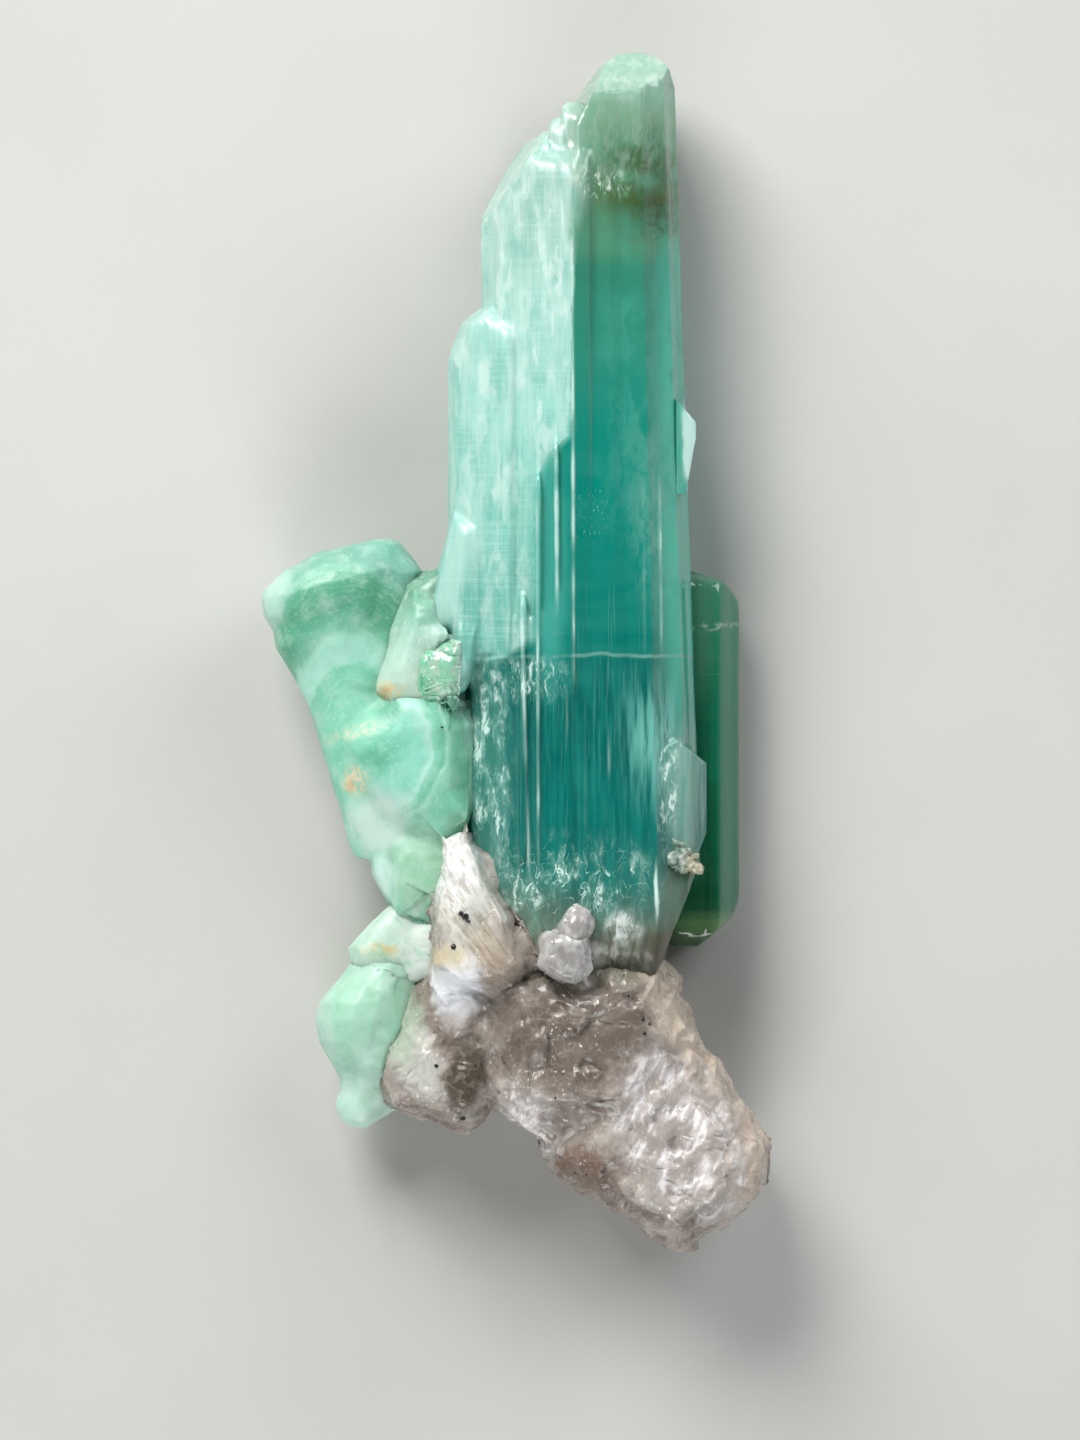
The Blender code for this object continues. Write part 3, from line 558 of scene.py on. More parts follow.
def worn(place, normal):
    """The rough root, and above it a groove, a ledge and a step that are nearly worn away."""
    if not on_front(place, normal):
        return 0.0
    root = window(place.x, -5, 13, 1.0) * window(place.y, -27, -19.5, 1.5)
    groove = window(place.x, 2.8, 7.2, 1.0) * window(place.y, -27, 0, 2.0)
    ledge = window(place.x, 2.2, 4.6, 0.5) * window(place.y, 0.0, 6.0, 1.5)
    tip_step = window(place.x, 3, 13, 1) * window(place.y, 31.5, 38.5, 2.0)
    return max(root, groove, ledge, tip_step)


def overgrown(place, normal):
    """Where the milky layer has grown over the steps between the columns and rounded them."""
    if not on_front(place, normal):
        return 0.0
    front = window(place.x, -6.5, 7.4, 0.8) * window(place.y, -24.5, 42.4, 1.5)
    return front * window(place.z, FRONT_Z, 20, 1.0)


main_crystal = dressed_copy("main_crystal", "tourmaline_main")
cut_into_grid(main_crystal, (0.14, 0.6, 0.3))
softened(main_crystal, overgrown, 22)
softened(main_crystal, worn, 60)
FULL_HEIGHT = 0.12  # mm, a ridge of this height is fully bright
heights = [bright_ridge(point.co / MM, point.normal) for point in main_crystal.data.vertices]
brightness = [min(height / FULL_HEIGHT, 1.0) ** 1.6 for height in heights]
relieved(main_crystal, prism_relief)
attribute = main_crystal.data.attributes.new("bright_ridge", "FLOAT", "POINT")
attribute.data.foreach_set("value", brightness)
shaded(main_crystal, 30)
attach(main_crystal, "root")

# %% [markdown]
# ### Its material
#
# Gem tourmaline is a clear, glassy stone with an index of refraction near 1.63. Its colour changed
# as it grew: a whitish tip, a smoky olive band, blue-green below that deepens to teal, and a
# grey-green root. A frosted, paler layer covers the columns at its left. Where the stone is
# clear it lets light through, and where it is frosted or etched it is milky white.

# %% Colour zones along the main crystal
ELBAITE_INDEX = 1.63
BODY_FROM, BODY_TO = -28.0, 48.0  # mm, the ends of the colour ramps


def along_body(y):
    """A place along the crystal, in mm, as a share of the ramp's length."""
    return (y - BODY_FROM) / (BODY_TO - BODY_FROM)


CLEAR_ZONES = [
    # place along the crystal in mm, colour
    (-26.0, "5c5244"), (-24.8, "635a4c"), (-23.4, "686a5a"), (-21.8, "76816f"), (-19.8, "64978a"),
    (-18.0, "3f9e93"), (-15.0, "178f85"), (-11.6, "088d84"), (-4.0, "047f77"), (-0.7, "068a80"),
    (-0.3, "049a8c"), (4.0, "04a595"), (11.7, "05b09f"), (17.8, "1cb29e"), (24.0, "40b49a"),
    (29.4, "48ae90"), (30.6, "6cbc98"), (35.0, "7cb68c"), (38.0, "8ec09a"), (40.5, "9ccaa8"),
    (42.3, "a4d0b4"), (43.3, "9ec2ae"), (46.0, "9cc0ac"),
]
MILKY_ZONES = [
    (-3.0, "56aa9c"), (1.0, "60b0a2"), (4.0, "70bcae"), (10.0, "86ccbe"), (19.0, "98d4c8"),
    (25.0, "9cd2c6"), (31.0, "9eccbf"), (37.0, "a2c4b8"), (41.0, "a4c2b6"),
]
MILKY_BORDER = [
    # how far right the milky layer reaches, in mm, at each place along the crystal
    (-28.0, -9.0), (-3.8, -8.0), (-3.0, -3.2), (-0.9, -2.8), (-0.5, -0.6), (0.9, 1.55),
    (11.5, 1.65), (13.6, 1.9), (15.5, 3.1), (16.5, 4.3), (32.0, 4.45), (34.5, 4.9),
    (42.0, 4.4), (47.0, 4.0),
]
BORDER_FROM, BORDER_TO = -10.0, 20.0  # the x of 0 and 1 on its curve

place = new_material("elbaite_tourmaline", main_crystal)
y = along(place, "y")
loose = shaken(place, (1.6, 2.4, 3.0), 0.22)
loose_y = along(loose, "y")
share_y = rescaled(loose_y, BODY_FROM, BODY_TO)
clear = ramp(share_y, [(along_body(at), hue) for at, hue in CLEAR_ZONES])
milky = ramp(share_y, [(along_body(at), hue) for at, hue in MILKY_ZONES])
border_span = BORDER_TO - BORDER_FROM
border_curve = [(along_body(at), (x - BORDER_FROM) / border_span) for at, x in MILKY_BORDER]
border = node(place.id_data, "FloatCurve", {"Value": share_y}, curve=border_curve)
border_x = rescaled(border, 0.0, 1.0, BORDER_FROM, BORDER_TO)
left_of = maths("SUBTRACT", border_x, along(loose, "x"))
top_width = rescaled(loose_y, 29.0, 35.0, 0.1, 1.5)
border_width = strongest(rescaled(loose_y, 15.0, 19.0, 0.9, 0.16), top_width)
milk = rescaled(left_of, maths("MULTIPLY", border_width, -1.0), border_width, eased=True)

# %% Frost, etching, cracks and smoke in it
wavy = shaken(place, (1.0, 1.6, 1.5), 0.5)
wide_streaks = marks(place, (0.9, 7.0, 1.2), 0.42, 0.80)
fine_streaks = marks(place, (0.25, 4.0, 0.5), 0.45, 0.80)
cross_bands = marks(place, (5.0, 0.22, 5.0), 0.42, 0.75)
blotches = marks(wavy, (0.45, 1.6, 1.0), 0.42, 0.72)
haze = marks(wavy, (0.6, 1.8, 1.2), 0.36, 0.66)
broad_strings = marks(wavy, (0.42, 1.7, 0.9), 0.48, 0.68, detail=5.0)
fine_strings = marks(wavy, (0.16, 0.8, 0.6), 0.52, 0.70, detail=4.0)
strings = strongest(broad_strings, both(fine_strings, 0.6))
flecks = marks(place, (0.16, 0.4, 0.4), 0.58, 0.70)
crowded = marks(place, (1.5, 3.4, 2.0), 0.38, 0.60)
curls = threads(wavy, (1.0, 1.2, 1.2), 0.02)
needles = marks(place, (0.13, 6.0, 0.4), 0.58, 0.74)
tip = rescaled(loose_y, 41.9, 43.8)
columns = marks(place, (0.45, 6.0, 0.8), 0.36, 0.64, detail=5.0)
clouds = marks(wavy, (1.7, 3.4, 2.4), 0.44, 0.66, detail=5.0)
wisps = marks(wavy, (0.9, 3.6, 1.6), 0.50, 0.68, detail=5.0)
smoke = both(patch(loose, (9.9, 35.8), (3.2, 3.8), 0.6), marks(place, (1.4, 2.2, 2.0), 0.28, 0.54))
smoke_grain = marks(place, (0.7, 0.7, 1.0), 0.36, 0.62)
dark_smoke = both(patch(loose, (11.0, 33.2), (1.6, 1.4), 0.6), smoke_grain)
right_edge = patch(loose, (13.0, 14.0), (2.2, 21.0), 0.45)
cyan_glow = patch(loose, (11.0, -7.0), (2.4, 4.2), 0.7)
pale_foot = patch(loose, (12.8, -10.4), (1.5, 4.6), 0.4)
sheath = patch(loose, (12.9, -19.6), (1.7, 5.0), 0.3)
pale_shoulder = both(milk, patch(loose, (-5.0, 5.2), (1.1, 6.2), 0.5, -0.29))
# painted highlight: a thin pale line on the bright ridge at the right of the root
edge_highlight = patch(loose, (10.87, -18.6), (0.16, 2.0), 0.6)
side_plate = both(patch(loose, (13.7, 16.2), (0.9, 4.0), 0.25), 0.9)
root_left = patch(loose, (-0.5, -20.5), (4.5, 2.4), 0.6)
left_zone = both(patch(loose, (-2.2, -9.4), (1.7, 9.0), 0.5), crowded)
left_etch = both(left_zone, strings)
mid_zone = patch(loose, (1.2, -2.2), (2.6, 1.4), 0.6)
mid_etch = both(mid_zone, strings)
low_zone = both(patch(loose, (4.0, -18.0), (6.4, 3.2), 0.5), crowded)
low_etch = both(low_zone, strings)
low_curls = both(patch(loose, (4.0, -18.0), (6.2, 2.8), 0.5), curls, haze)
edge_etch = both(patch(loose, (11.7, -11.0), (0.8, 4.6), 0.5), strings)
foot_etch = both(patch(loose, (8.3, -21.3), (1.4, 1.3), 0.5), haze)
top_etch = both(patch(loose, (6.4, 35.8), (2.2, 1.2), 0.5), strings)
clear_needles = both(patch(loose, (6.0, -8.0), (6.0, 13.0), 0.4), needles)
clear_flecks = both(patch(loose, (5.6, 10.6), (1.3, 2.2), 0.6), flecks)
between_ridges = patch(loose, (2.4, 7.0), (1.5, 9.0), 0.4)


def crack_at(height, waves, x_range, half_width):
    """A healed crack across the crystal: a thin, slightly wavy sheet seen edge on."""
    wave = maths("MULTIPLY_ADD", grain(place, waves), 1.1, height - 0.55)
    off = maths("ABSOLUTE", maths("SUBTRACT", y, wave))
    line = rescaled(off, half_width * 1.8, half_width * 0.5)
    middle, reach = sum(x_range) / 2, (x_range[1] - x_range[0]) / 2
    span = patch(place, (middle, height), (reach, 5.0), 0.15)
    return both(line, span, marks(place, (1.6, 9, 9), 0.30, 0.50))


crack = crack_at(-0.5, (4.0, 40, 40), (-3.5, 14.0), 0.11)
upper_crack = crack_at(1.2, (2.5, 40, 40), (-3.0, 3.4), 0.09)
print("main crystal patterns ready")

# %% Put the main crystal's material together
root = rescaled(loose_y, -20.0, -22.8)
upper_part = rescaled(loose_y, -4.0, 0.0, 0.25)
growth_bands = rescaled(grain(place, (12, 1.6, 12)), 0.35, 0.68, 0.0, 0.28)
ridge_highlight = node(place.id_data, "Attribute", attribute_name="bright_ridge", out=2)
milk_height = rescaled(y, -4.0, 26.0, 0.45, 0.75)
layers = [
    ("74ead0", right_edge),
    ("2cb5a8", patch(loose, (5.5, -9.0), (6.5, 9.5), 0.3), columns, 0.55),
    ("98f2e4", cyan_glow, columns),
    ("56d4c4", between_ridges),
    ("9cdccb", pale_foot, 0.8),
    ("566e5c", sheath),
    ("7fa391", root_left, 0.8),
    ("4c4436", root, columns, 0.8),
    ("a6ac9c", root, blotches, 0.6),
    ("4e4634", patch(loose, (11.8, -23.4), (2.2, 2.0), 0.5), 0.9),
    ("5c743c", smoke, 0.95),
    ("4a6440", dark_smoke, 0.85),
    ("5cd0ba", growth_bands, upper_part, 0.8),
    ("62cdb9", patch(loose, (11.0, 19.0), (4.2, 14.0), 0.6), clouds, 0.7),
    ("8fdccb", patch(loose, (11.6, 11.0), (2.6, 7.0), 0.6), haze, 0.7),
    ("d2f0e8", side_plate),
    (milky, milk),
    ("62b2a4", milk, clouds, 0.45),
    ("e6f3ee", milk, wisps, milk_height, 0.7),
    ("cde6df", milk, wide_streaks, milk_height, 0.7),
    ("dceee8", milk, fine_streaks, milk_height, 0.6),
    ("bde2d9", milk, cross_bands, 0.35),
    ("b4dcd1", pale_shoulder, 0.7),
    ("c6dcd0", tip, blotches, 0.75),
    ("c6dcd0", patch(loose, (8.0, 40.0), (4.6, 3.6), 0.5), blotches, 0.5),
    ("8fd6cb", clear_needles, 0.45),
    ("b8ebe0", clear_flecks, 0.6),
    ("5fb8aa", patch(loose, (-2.2, -9.4), (1.7, 9.0), 0.5), 0.7),
    ("9ce2d5", left_zone, haze),
    ("6cc2b4", mid_zone, haze, 0.7),
    ("84ccbc", low_zone, haze, 0.75),
    ("dff2ec", left_etch, 0.9),
    ("dff2ec", mid_etch, 0.9),
    ("d6ece4", low_etch, 0.9),
    ("d8ece6", low_curls, 0.7),
    ("e0f2ec", edge_etch, 0.9),
    ("d8efe8", edge_highlight, 0.9),
    ("e4ece8", foot_etch, 0.9),
    ("cfe0d2", top_etch),
    ("cfeee6", patch(loose, (13.2, -10.8), (1.7, 4.6), 0.4), columns, 0.5),
    ("9fded1", crack, 0.75),
    ("8ccfc2", upper_crack, 0.7),
    # painted highlight: near-white along the bright ridges, where they catch the light
    ("dcf6ef", ridge_highlight, 0.75),
]
colour = painted(clear, layers)
low_etched = (low_etch, low_curls, edge_etch, foot_etch)
etched = (left_etch, mid_etch, *low_etched, top_etch, edge_highlight, side_plate)
veiled = (both(milk, 0.9), both(tip, 0.6), root, sheath, both(ridge_highlight, 0.7))
frosted = strongest(*veiled, *etched)
see_through = rescaled(frosted, 0.0, 1.0, 0.55, 0.12)
gloss = rescaled(frosted, 0.0, 1.0, 0.10, 0.40)
height = maths("ADD", grain(place, (0.13, 4.5, 0.13)), both(strings, 0.3))
bump = bumped(height, 0.2, 0.02)
spread = 0.3, (0.5, 1.0, 0.9), 1.2
finish_material(colour, gloss, ELBAITE_INDEX, see_through, spread, bump, absorbs=("8fdccd", 40.0))
print("main crystal:", len(place.id_data.nodes), "nodes")

# %% [markdown]
# ## The deep green crystal at the right
#
# It is a second tourmaline, darker and greener, with flat faces and faint growth lines. It is cut
# and ridged as the main crystal is.

# %% Side crystal
side_crystal = dressed_copy("side_crystal", "tourmaline_side")
cut_into_grid(side_crystal, (0.16, 0.6, 0.3))
softened(side_crystal, lambda place, normal: 1.0, 12)
grown_onto(side_crystal, ["main_crystal"], 0.6)


def side_relief(place, normal):
    """Ridges along its length, and faint steps of growth across it."""
    steps = 0.02 * ripple(place, (6, 0.8, 6), 9.1)
    return abs(normal.z) * 0.04 * ripple(place, (0.6, 16, 900), 2.2) + steps


relieved(side_crystal, side_relief)
shaded(side_crystal, 30)
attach(side_crystal, "root")

place = new_material("green_tourmaline", side_crystal)
loose = shaken(place, (1.4, 2.0, 2.0), 0.3)
SIDE_ZONES = [
    # share of the length, colour
    (0.0, "1d6c3c"), (0.15, "166a41"), (0.35, "167e58"),
    (0.62, "188260"), (0.8, "389674"), (1.0, "58a88a"),
]
green = ramp(rescaled(along(loose, "y"), -24.0, 8.0), SIDE_ZONES)
lines = marks(place, (0.3, 14.0, 0.5), 0.5, 0.68)
band = marks(place, (12, 0.5, 12), 0.56, 0.66)
pale_inside = patch(loose, (13.6, 2.0), (1.6, 6.0), 0.6)
foot_line = patch(loose, (15.0, -21.4), (3.4, 0.9), 0.8)
crack = both(patch(loose, (15.2, 1.9), (2.2, 0.28), 0.6), marks(place, (0.8, 0.6, 1.0), 0.45, 0.6))
layers = [
    ("6aa98a", pale_inside, 0.5),
    ("4f9070", lines, 0.3),
    ("69a583", band, 0.2),
    ("249c74", patch(loose, (16.6, -8.0), (1.4, 15.0), 0.5), 0.6),
    ("8cb87e", foot_line, 0.8),
    ("a6cdb8", crack),
]
colour = painted(green, layers)
gloss = rescaled(lines, 0.0, 1.0, 0.10, 0.24)
bump = bumped(grain(place, (0.16, 6, 0.16)), 0.3, 0.03)
finish_material(colour, gloss, ELBAITE_INDEX, 0.5, bump=bump, absorbs=("7cc99a", 60.0))
print("side crystal:", len(place.id_data.nodes), "nodes")

# %% [markdown]
# ## The milky crystals at the left
#
# Four stones with soft, rounded faces: a flared one with curved bands and the stub fused to its
# foot, a pale wedge-shaped one above, a flat one below, and a smooth rounded one with a short tail.
# Their inside is full of tiny bubbles, so light spreads in them and doesn't pass straight through.
# They are rebuilt from small cubes and smoothed only a little, so that their corners stay.


# %% Shape of the milky crystals
def facets(place, size, tilt, seed):
    """Height of broken facets: each scattered point owns a small plane, tilted its own way."""
    spot = Vector((place.x / size + seed, place.y / size, place.z / size))
    centre = noise.voronoi(spot)[1][0]
    lean = noise.cell_vector(centre * 7.3 + Vector((0.5, 0.5, 0.5))) - Vector((0.5, 0.5, 0.5))
    return (spot - centre).dot(lean) * size * tilt


def soft_relief(seed, fine, bulges):
    """A relief for a milky crystal: broad waves, fine ones, and bulges that fill corners."""

    def height(place, normal):
        total = 0.10 * ripple(place, (2.2, 2.2, 2.2), seed)
        total += fine * ripple(place, (0.7, 0.7, 0.7), seed + 4)
        for x, y, radius, rise in bulges:
            off = ((place.x - x) ** 2 + (place.y - y) ** 2) / radius**2
            total += rise * math.exp(-off) * max(normal.z, 0)
        return total

    return height


BULGES = {
    # x, y, radius, rise in mm
    "pale_crystal": [(-5.4, 1.1, 0.9, 1.7), (-5.2, -3.6, 1.2, 1.0)],
    "flared_crystal": [(-8.4, -4.6, 1.2, 0.8), (-6.4, -4.6, 1.2, 0.8), (-4.2, -4.4, 1.4, 1.6)],
}
MILKY_PIECES = {}
MILKY_SHAPES = [
    # node, cube, smoothing, seed, fine relief, reach, neighbours that it touches
    (
        "flared_crystal", 0.17, 4, 11.0, 0.04, 2.4,
        ["main_crystal", "pale_crystal", "quartz_matrix", "wedge_crystal"],
    ),
    (
        "pale_crystal", 0.15, 6, 12.0, 0.04, 1.5,
        ["main_crystal", "flared_crystal", "glassy_crystal"],
    ),
    (
        "wedge_crystal", 0.17, 3, 13.0, 0.06, 1.5,
        ["flared_crystal", "quartz_matrix", "rounded_crystal"],
    ),
    ("rounded_crystal", 0.17, 12, 14.0, 0.03, 1.5, ["quartz_matrix", "wedge_crystal"]),
]


def stub(place, normal):
    """The rounded stub in front of the flared crystal's foot."""
    return window(place.x, -14, 0, 1) * window(place.y, -16, -2.5, 1)


for node_name, cube, smoothing, seed, fine, reach, touches in MILKY_SHAPES:
    piece = dressed_copy(node_name, node_name.replace("crystal", "tourmaline"))
    rebuilt(piece, cube, smoothing)
    if node_name == "flared_crystal":
        softened(piece, stub, 160)
    grown_onto(piece, touches, reach)
    relieved(piece, soft_relief(seed, fine, BULGES.get(node_name, [])))
    shaded(piece, 60)
    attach(piece, "root")
    MILKY_PIECES[node_name] = piece


# %% What the milky materials share
def milky_place(node_name):
    """An empty material on a milky crystal, its place in millimetres, and that with a wobble."""
    place = new_material("milky_" + node_name, MILKY_PIECES[node_name])
    return place, shaken(place, (1.8, 1.8, 1.8), 0.4)


def finish_milky(place, base, layers):
    """Lays clouds and sugary spots over the stone's own layers, and adds its milky body."""
    cloud = grain(place, (1.5, 1.5, 1.5), detail=5)
    lighter = rescaled(cloud, 0.48, 0.75, 0.0, 0.38)
    darker = rescaled(cloud, 0.48, 0.25, 0.0, 0.35)
    sugar = marks(place, (0.22, 0.26, 0.22), 0.58, 0.72)
    clouds = [("dcf5ea", lighter), ("6dbb9b", darker), ("eefaf5", sugar, 0.35)]
    gloss = rescaled(cloud, 0.3, 0.7, 0.58, 0.38)
    skin = bumped(grain(place, (0.35, 0.35, 0.35), detail=4), 0.45, 0.06)
    spread = 0.6, (0.8, 1.0, 0.9), 1.6
    colour = painted(base, layers + clouds)
    finish_material(colour, gloss, 1.62, 0.25, spread, skin, absorbs=("a9e2c8", 60.0))


# %% Flared crystal: bands that follow its domed top, the stub with its arcs, ochre stains
place, loose = milky_place("flared_crystal")
DOME = (-11.9, -9.5), (9.6, 18.2), 0.12  # centre, radii and turn of its bands
bands = [
    (0.0, "8cdabe"), (0.34, "8cdabe"), (0.46, "88d6ba"), (0.485, "b2ead8"), (0.59, "b0ead6"),
    (0.62, "84ceb0"), (0.70, "60b896"), (0.80, "5ab490"), (0.86, "6cbc9c"), (0.885, "8ecab6"),
    (0.93, "7abaa6"), (1.0, "80beac"),
]
arcs = [
    (0.0, "76cdb2"), (0.25, "7ed2b8"), (0.4, "93dfca"), (0.62, "9be4d0"), (0.72, "bfeede"),
    (0.76, "90dcc4"), (0.88, "78caa9"), (0.93, "a6e3cd"), (1.0, "84d1b2"),
]
base = ramp(oval_reach(loose, *DOME), bands)
stub_colour = ramp(oval_reach(loose, (-10.5, -8.0), (5.4, 6.6), -0.4), arcs)
rings = {"Vector": oval_reach(loose, *DOME), "Scale": 34.0, "Detail": 3.0}
crisp_rings = rescaled(node(place.id_data, "TexNoise", rings), 0.5, 0.68)
ring_zone = marks(place, (3.0, 3.0, 3.0), 0.35, 0.6)
stain = marks(place, (0.4, 0.4, 0.4), 0.38, 0.55)
layers = [
    ("c4ecde", patch(loose, (-19.3, 3.4), (1.3, 3.2), 0.5, -0.35), 0.85),
    ("b8e6d6", patch(loose, (-16.9, -6.9), (0.8, 10.0), 0.4, 0.31), 0.75),
    ("5fa684", patch(loose, (-9.4, -4.7), (1.3, 0.8), 0.5), 0.8),
    ("4f9f7c", patch(loose, (-10.4, 3.0), (1.6, 1.8), 0.8), 0.6),
    (stub_colour, patch(loose, (-7.4, -9.2), (4.2, 5.0), 0.25, 0.1)),
    ("66bd9e", patch(loose, (-10.7, -8.4), (1.2, 0.7), 0.8)),
    ("dcf4ea", patch(loose, (-10.6, -13.4), (2.2, 2.6), 0.5, 0.3), 0.9),
    ("a2d3b3", patch(loose, (-7.2, -17.4), (2.6, 3.2), 0.35), 0.9),
    ("d6f4ea", patch(loose, (-10.2, -17.4), (0.9, 1.6), 0.5), 0.9),
    ("d4f4e8", crisp_rings, ring_zone, 0.25),
    ("f1dfb4", patch(loose, (-12.4, -10.0), (1.0, 1.0), 0.5), stain),
    ("e8a868", patch(loose, (-12.7, -10.4), (0.35, 0.5), 0.6), 0.6),
    ("d8dfc0", patch(loose, (-12.2, -6.3), (2.2, 0.5), 0.6, 0.3), stain, 0.8),
]
finish_milky(place, base, layers)

# %% Pale crystal: creamy white over a green foot, with an ochre stain and white clouds
place, loose = milky_place("pale_crystal")
bands = [
    (0.0, "74b694"), (0.12, "86c29e"), (0.19, "cbe6d2"), (0.42, "c4e6d6"), (0.62, "9ed4be"),
    (0.76, "70b092"), (1.0, "5a9a7a"),
]
base = ramp(rescaled(along(loose, "y"), -6.0, 7.5), bands)
stain = marks(place, (0.4, 0.4, 0.4), 0.36, 0.52)
layers = [
    ("f2ddaa", patch(loose, (-9.9, -3.0), (1.2, 0.6), 0.5), stain),
    ("e2ae6c", patch(loose, (-10.1, -3.2), (0.5, 0.4), 0.6), stain, 0.7),
    ("f4faf4", marks(place, (0.6, 0.6, 0.6), 0.55, 0.7), 0.4),
]
finish_milky(place, base, layers)

# %% Wedge crystal: mint at its thin edge, nearly white by the rock, with green veins
place, loose = milky_place("wedge_crystal")
bands = [(0.0, "bee5d0"), (0.45, "daf0e4"), (1.0, "f2f8f2")]
base = ramp(rescaled(along(loose, "x"), -13.0, -5.0), bands)
stain = marks(place, (0.5, 0.4, 0.4), 0.38, 0.55)
layers = [
    ("e6dba0", patch(loose, (-10.5, -23.2), (1.5, 0.5), 0.6), stain),
    ("9fdcc0", marks(place, (1.6, 0.5, 0.8), 0.52, 0.66, turn=-0.7), 0.5),
]
finish_milky(place, base, layers)

# %% Rounded crystal: even mint with a pale rim and tail, and a faint crest down its middle
place, loose = milky_place("rounded_crystal")
bands = [(0.0, "ceeee0"), (0.25, "caecdc"), (0.45, "b0e2ca"), (0.8, "aadfc4"), (1.0, "bce7d2")]
base = ramp(rescaled(along(loose, "y"), -37.5, -24.0), bands)
layers = [
    ("c4e8d8", patch(loose, (-15.1, -28.5), (1.0, 4.0), 0.6), 0.8),
    ("d6f3e7", patch(loose, (-10.6, -29.0), (0.5, 3.6), 0.8, -0.25), 0.5),
    ("9fdcbe", marks(place, (2.4, 2.4, 2.4), 0.5, 0.65), 0.35),
]
finish_milky(place, base, layers)
print("milky crystals:", sorted(MILKY_PIECES))

# %% [markdown]
# ## The small glassy crystal and the colourless quartz crystal
#
# Both are clear and bright. The green one is smooth with a wavy face, the quartz is chipped and
# full of white veils.


# %% Small clear crystals
QUARTZ_INDEX = 1.55

glassy = dressed_copy("glassy_crystal", "glassy_tourmaline")
rebuilt(glassy, 0.1, 16)
grown_onto(glassy, ["main_crystal", "pale_crystal", "flared_crystal"], 2.2)


def wavy_face(place, normal):
    """Even growth with a wavy face."""
    waves, fine_waves = ripple(place, (0.9, 1.1, 0.9), 21), ripple(place, (0.4, 0.4, 0.4), 22)
    return 0.2 + 0.16 * waves + 0.05 * fine_waves


relieved(glassy, wavy_face)
shaded(glassy, 35)
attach(glassy, "root")

quartz_point = dressed_copy("quartz_crystal", "quartz_point")
rebuilt(quartz_point, 0.12, 2)
grown_onto(quartz_point, ["main_crystal", "quartz_matrix"], 0.6)


def chipped_face(place, normal):
    """Chips and facets, and a shoulder across the middle."""
    shoulder = 0.42 * math.exp(-(((place.y + 21.4) / 1.4) ** 2))
    return 0.08 + shoulder + facets(place, 1.1, 0.3, 31) + 0.02 * ripple(place, (0.5, 0.5, 0.5), 32)


relieved(quartz_point, chipped_face)
shaded(quartz_point, 35)
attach(quartz_point, "root")

# %% Materials of the small clear crystals
place = new_material("clear_green_tourmaline", glassy)
pale_side = patch(place, (-3.8, -1.6), (0.7, 3.4), 0.5)
# painted highlights: small near-white spots where the shiny stone catches the light
highlight_spots = marks(place, (0.5, 0.8, 0.5), 0.60, 0.66, detail=1)
tone = ramp(grain(place, (1.0, 1.4, 1.0)), [(0.32, "88e8b6"), (0.5, "aaf4ce"), (0.68, "ddfbe4")])
tone = painted(tone, [("d9f6ea", pale_side), ("d8f8e6", highlight_spots)])
bump = bumped(grain(place, (0.5, 0.6, 0.5)), 0.8, 0.16)
finish_material(tone, 0.08, 1.62, 0.5, bump=bump, absorbs=("8fd8a8", 50.0))

place = new_material("rock_crystal", quartz_point)
veil = marks(place, (0.9, 1.2, 0.9), 0.40, 0.70)
tone = node(place.id_data, "Mix", {0: veil, 6: "b2afad", 7: "e2e0de"}, out=2, data_type="RGBA")
bump = bumped(grain(place, (0.5, 0.6, 0.5)), 0.15, 0.05)
spread = 0.4, (1.0, 1.0, 1.0), 0.8
finish_material(tone, 0.2, QUARTZ_INDEX, 0.35, spread, bump, absorbs=("e4e4e0", 20.0))
print("clear stones ready")

# %% [markdown]
# ## The quartz matrix and the druse
#
# Massive quartz breaks in curved chips and small flat steps, with fibrous streaks where it grew
# against the crystals. Broken faces are grey-brown and a little see-through, and crushed zones
# are whiter. They also sparkle white because each of thousands of tiny faces reflects the light
# its own way: this sparkle is painted as near-white flakes and glints. The plain solid already has
# the large chips, so its faces are only divided, which keeps their edges, and smaller facets are
# added to them.


# %% Shape of the matrix
def in_oval(place, centre, radii, turn=0.0):
    """1 in the middle of an oval in the XY plane, 0 at its rim and outside."""
    x, y = place.x - centre[0], place.y - centre[1]
    turned_x = x * math.cos(turn) + y * math.sin(turn)
    turned_y = y * math.cos(turn) - x * math.sin(turn)
    return max(0.0, 1 - (turned_x / radii[0]) ** 2 - (turned_y / radii[1]) ** 2)


def rock_relief(place, normal):
    """Facets of three sizes, finest where the rock is crushed, and fibres in the white spray."""
    right = in_oval(place, (12.0, -37.0), (6.0, 7.0))
    left = in_oval(place, (1.2, -37.0), (2.4, 4.2))
    patchy = min(max(0.6 + 1.6 * noise.noise(Vector(place) / 2.6), 0), 1)
    crushed = min(1.0, 2 * (right + left)) * patchy
    spray = min(1.0, 2 * in_oval(place, (-3.4, -20.5), (3.4, 7.0), 0.3))
    rim = window(place.y, -26.4, -23.4, 1.0) * window(place.x, 0, 14, 1)
    rim *= 0.35 + 0.6 * ripple(place, (1, 1, 1), 17)
    across_fibres = place.x * 0.83 + place.y * 0.56
    along_fibres = place.x * 0.56 - place.y * 0.83
    fibre = noise.noise(Vector((across_fibres / 0.35, along_fibres / 3.0, place.z / 0.8)))
    facing = max(normal.z, 0.0)
    coarse = facets(place, 2.6, 0.4, 2.5) * (1 - spray)
    coarse += facets(place, 1.1, 0.06 + 0.18 * facing, 7.5)
    fine = facets(place, 0.45, 0.03 + facing * (0.05 + 0.95 * crushed), 12.5)
    return coarse + fine + rim + 0.10 * spray * fibre + 0.01 * ripple(place, (0.35, 0.35, 0.35), 5)


def divided(obj, cuts):
    """Divides every face, so that flat faces and their edges stay where they are."""
    with editing(obj):
        bpy.ops.mesh.subdivide(number_cuts=cuts)


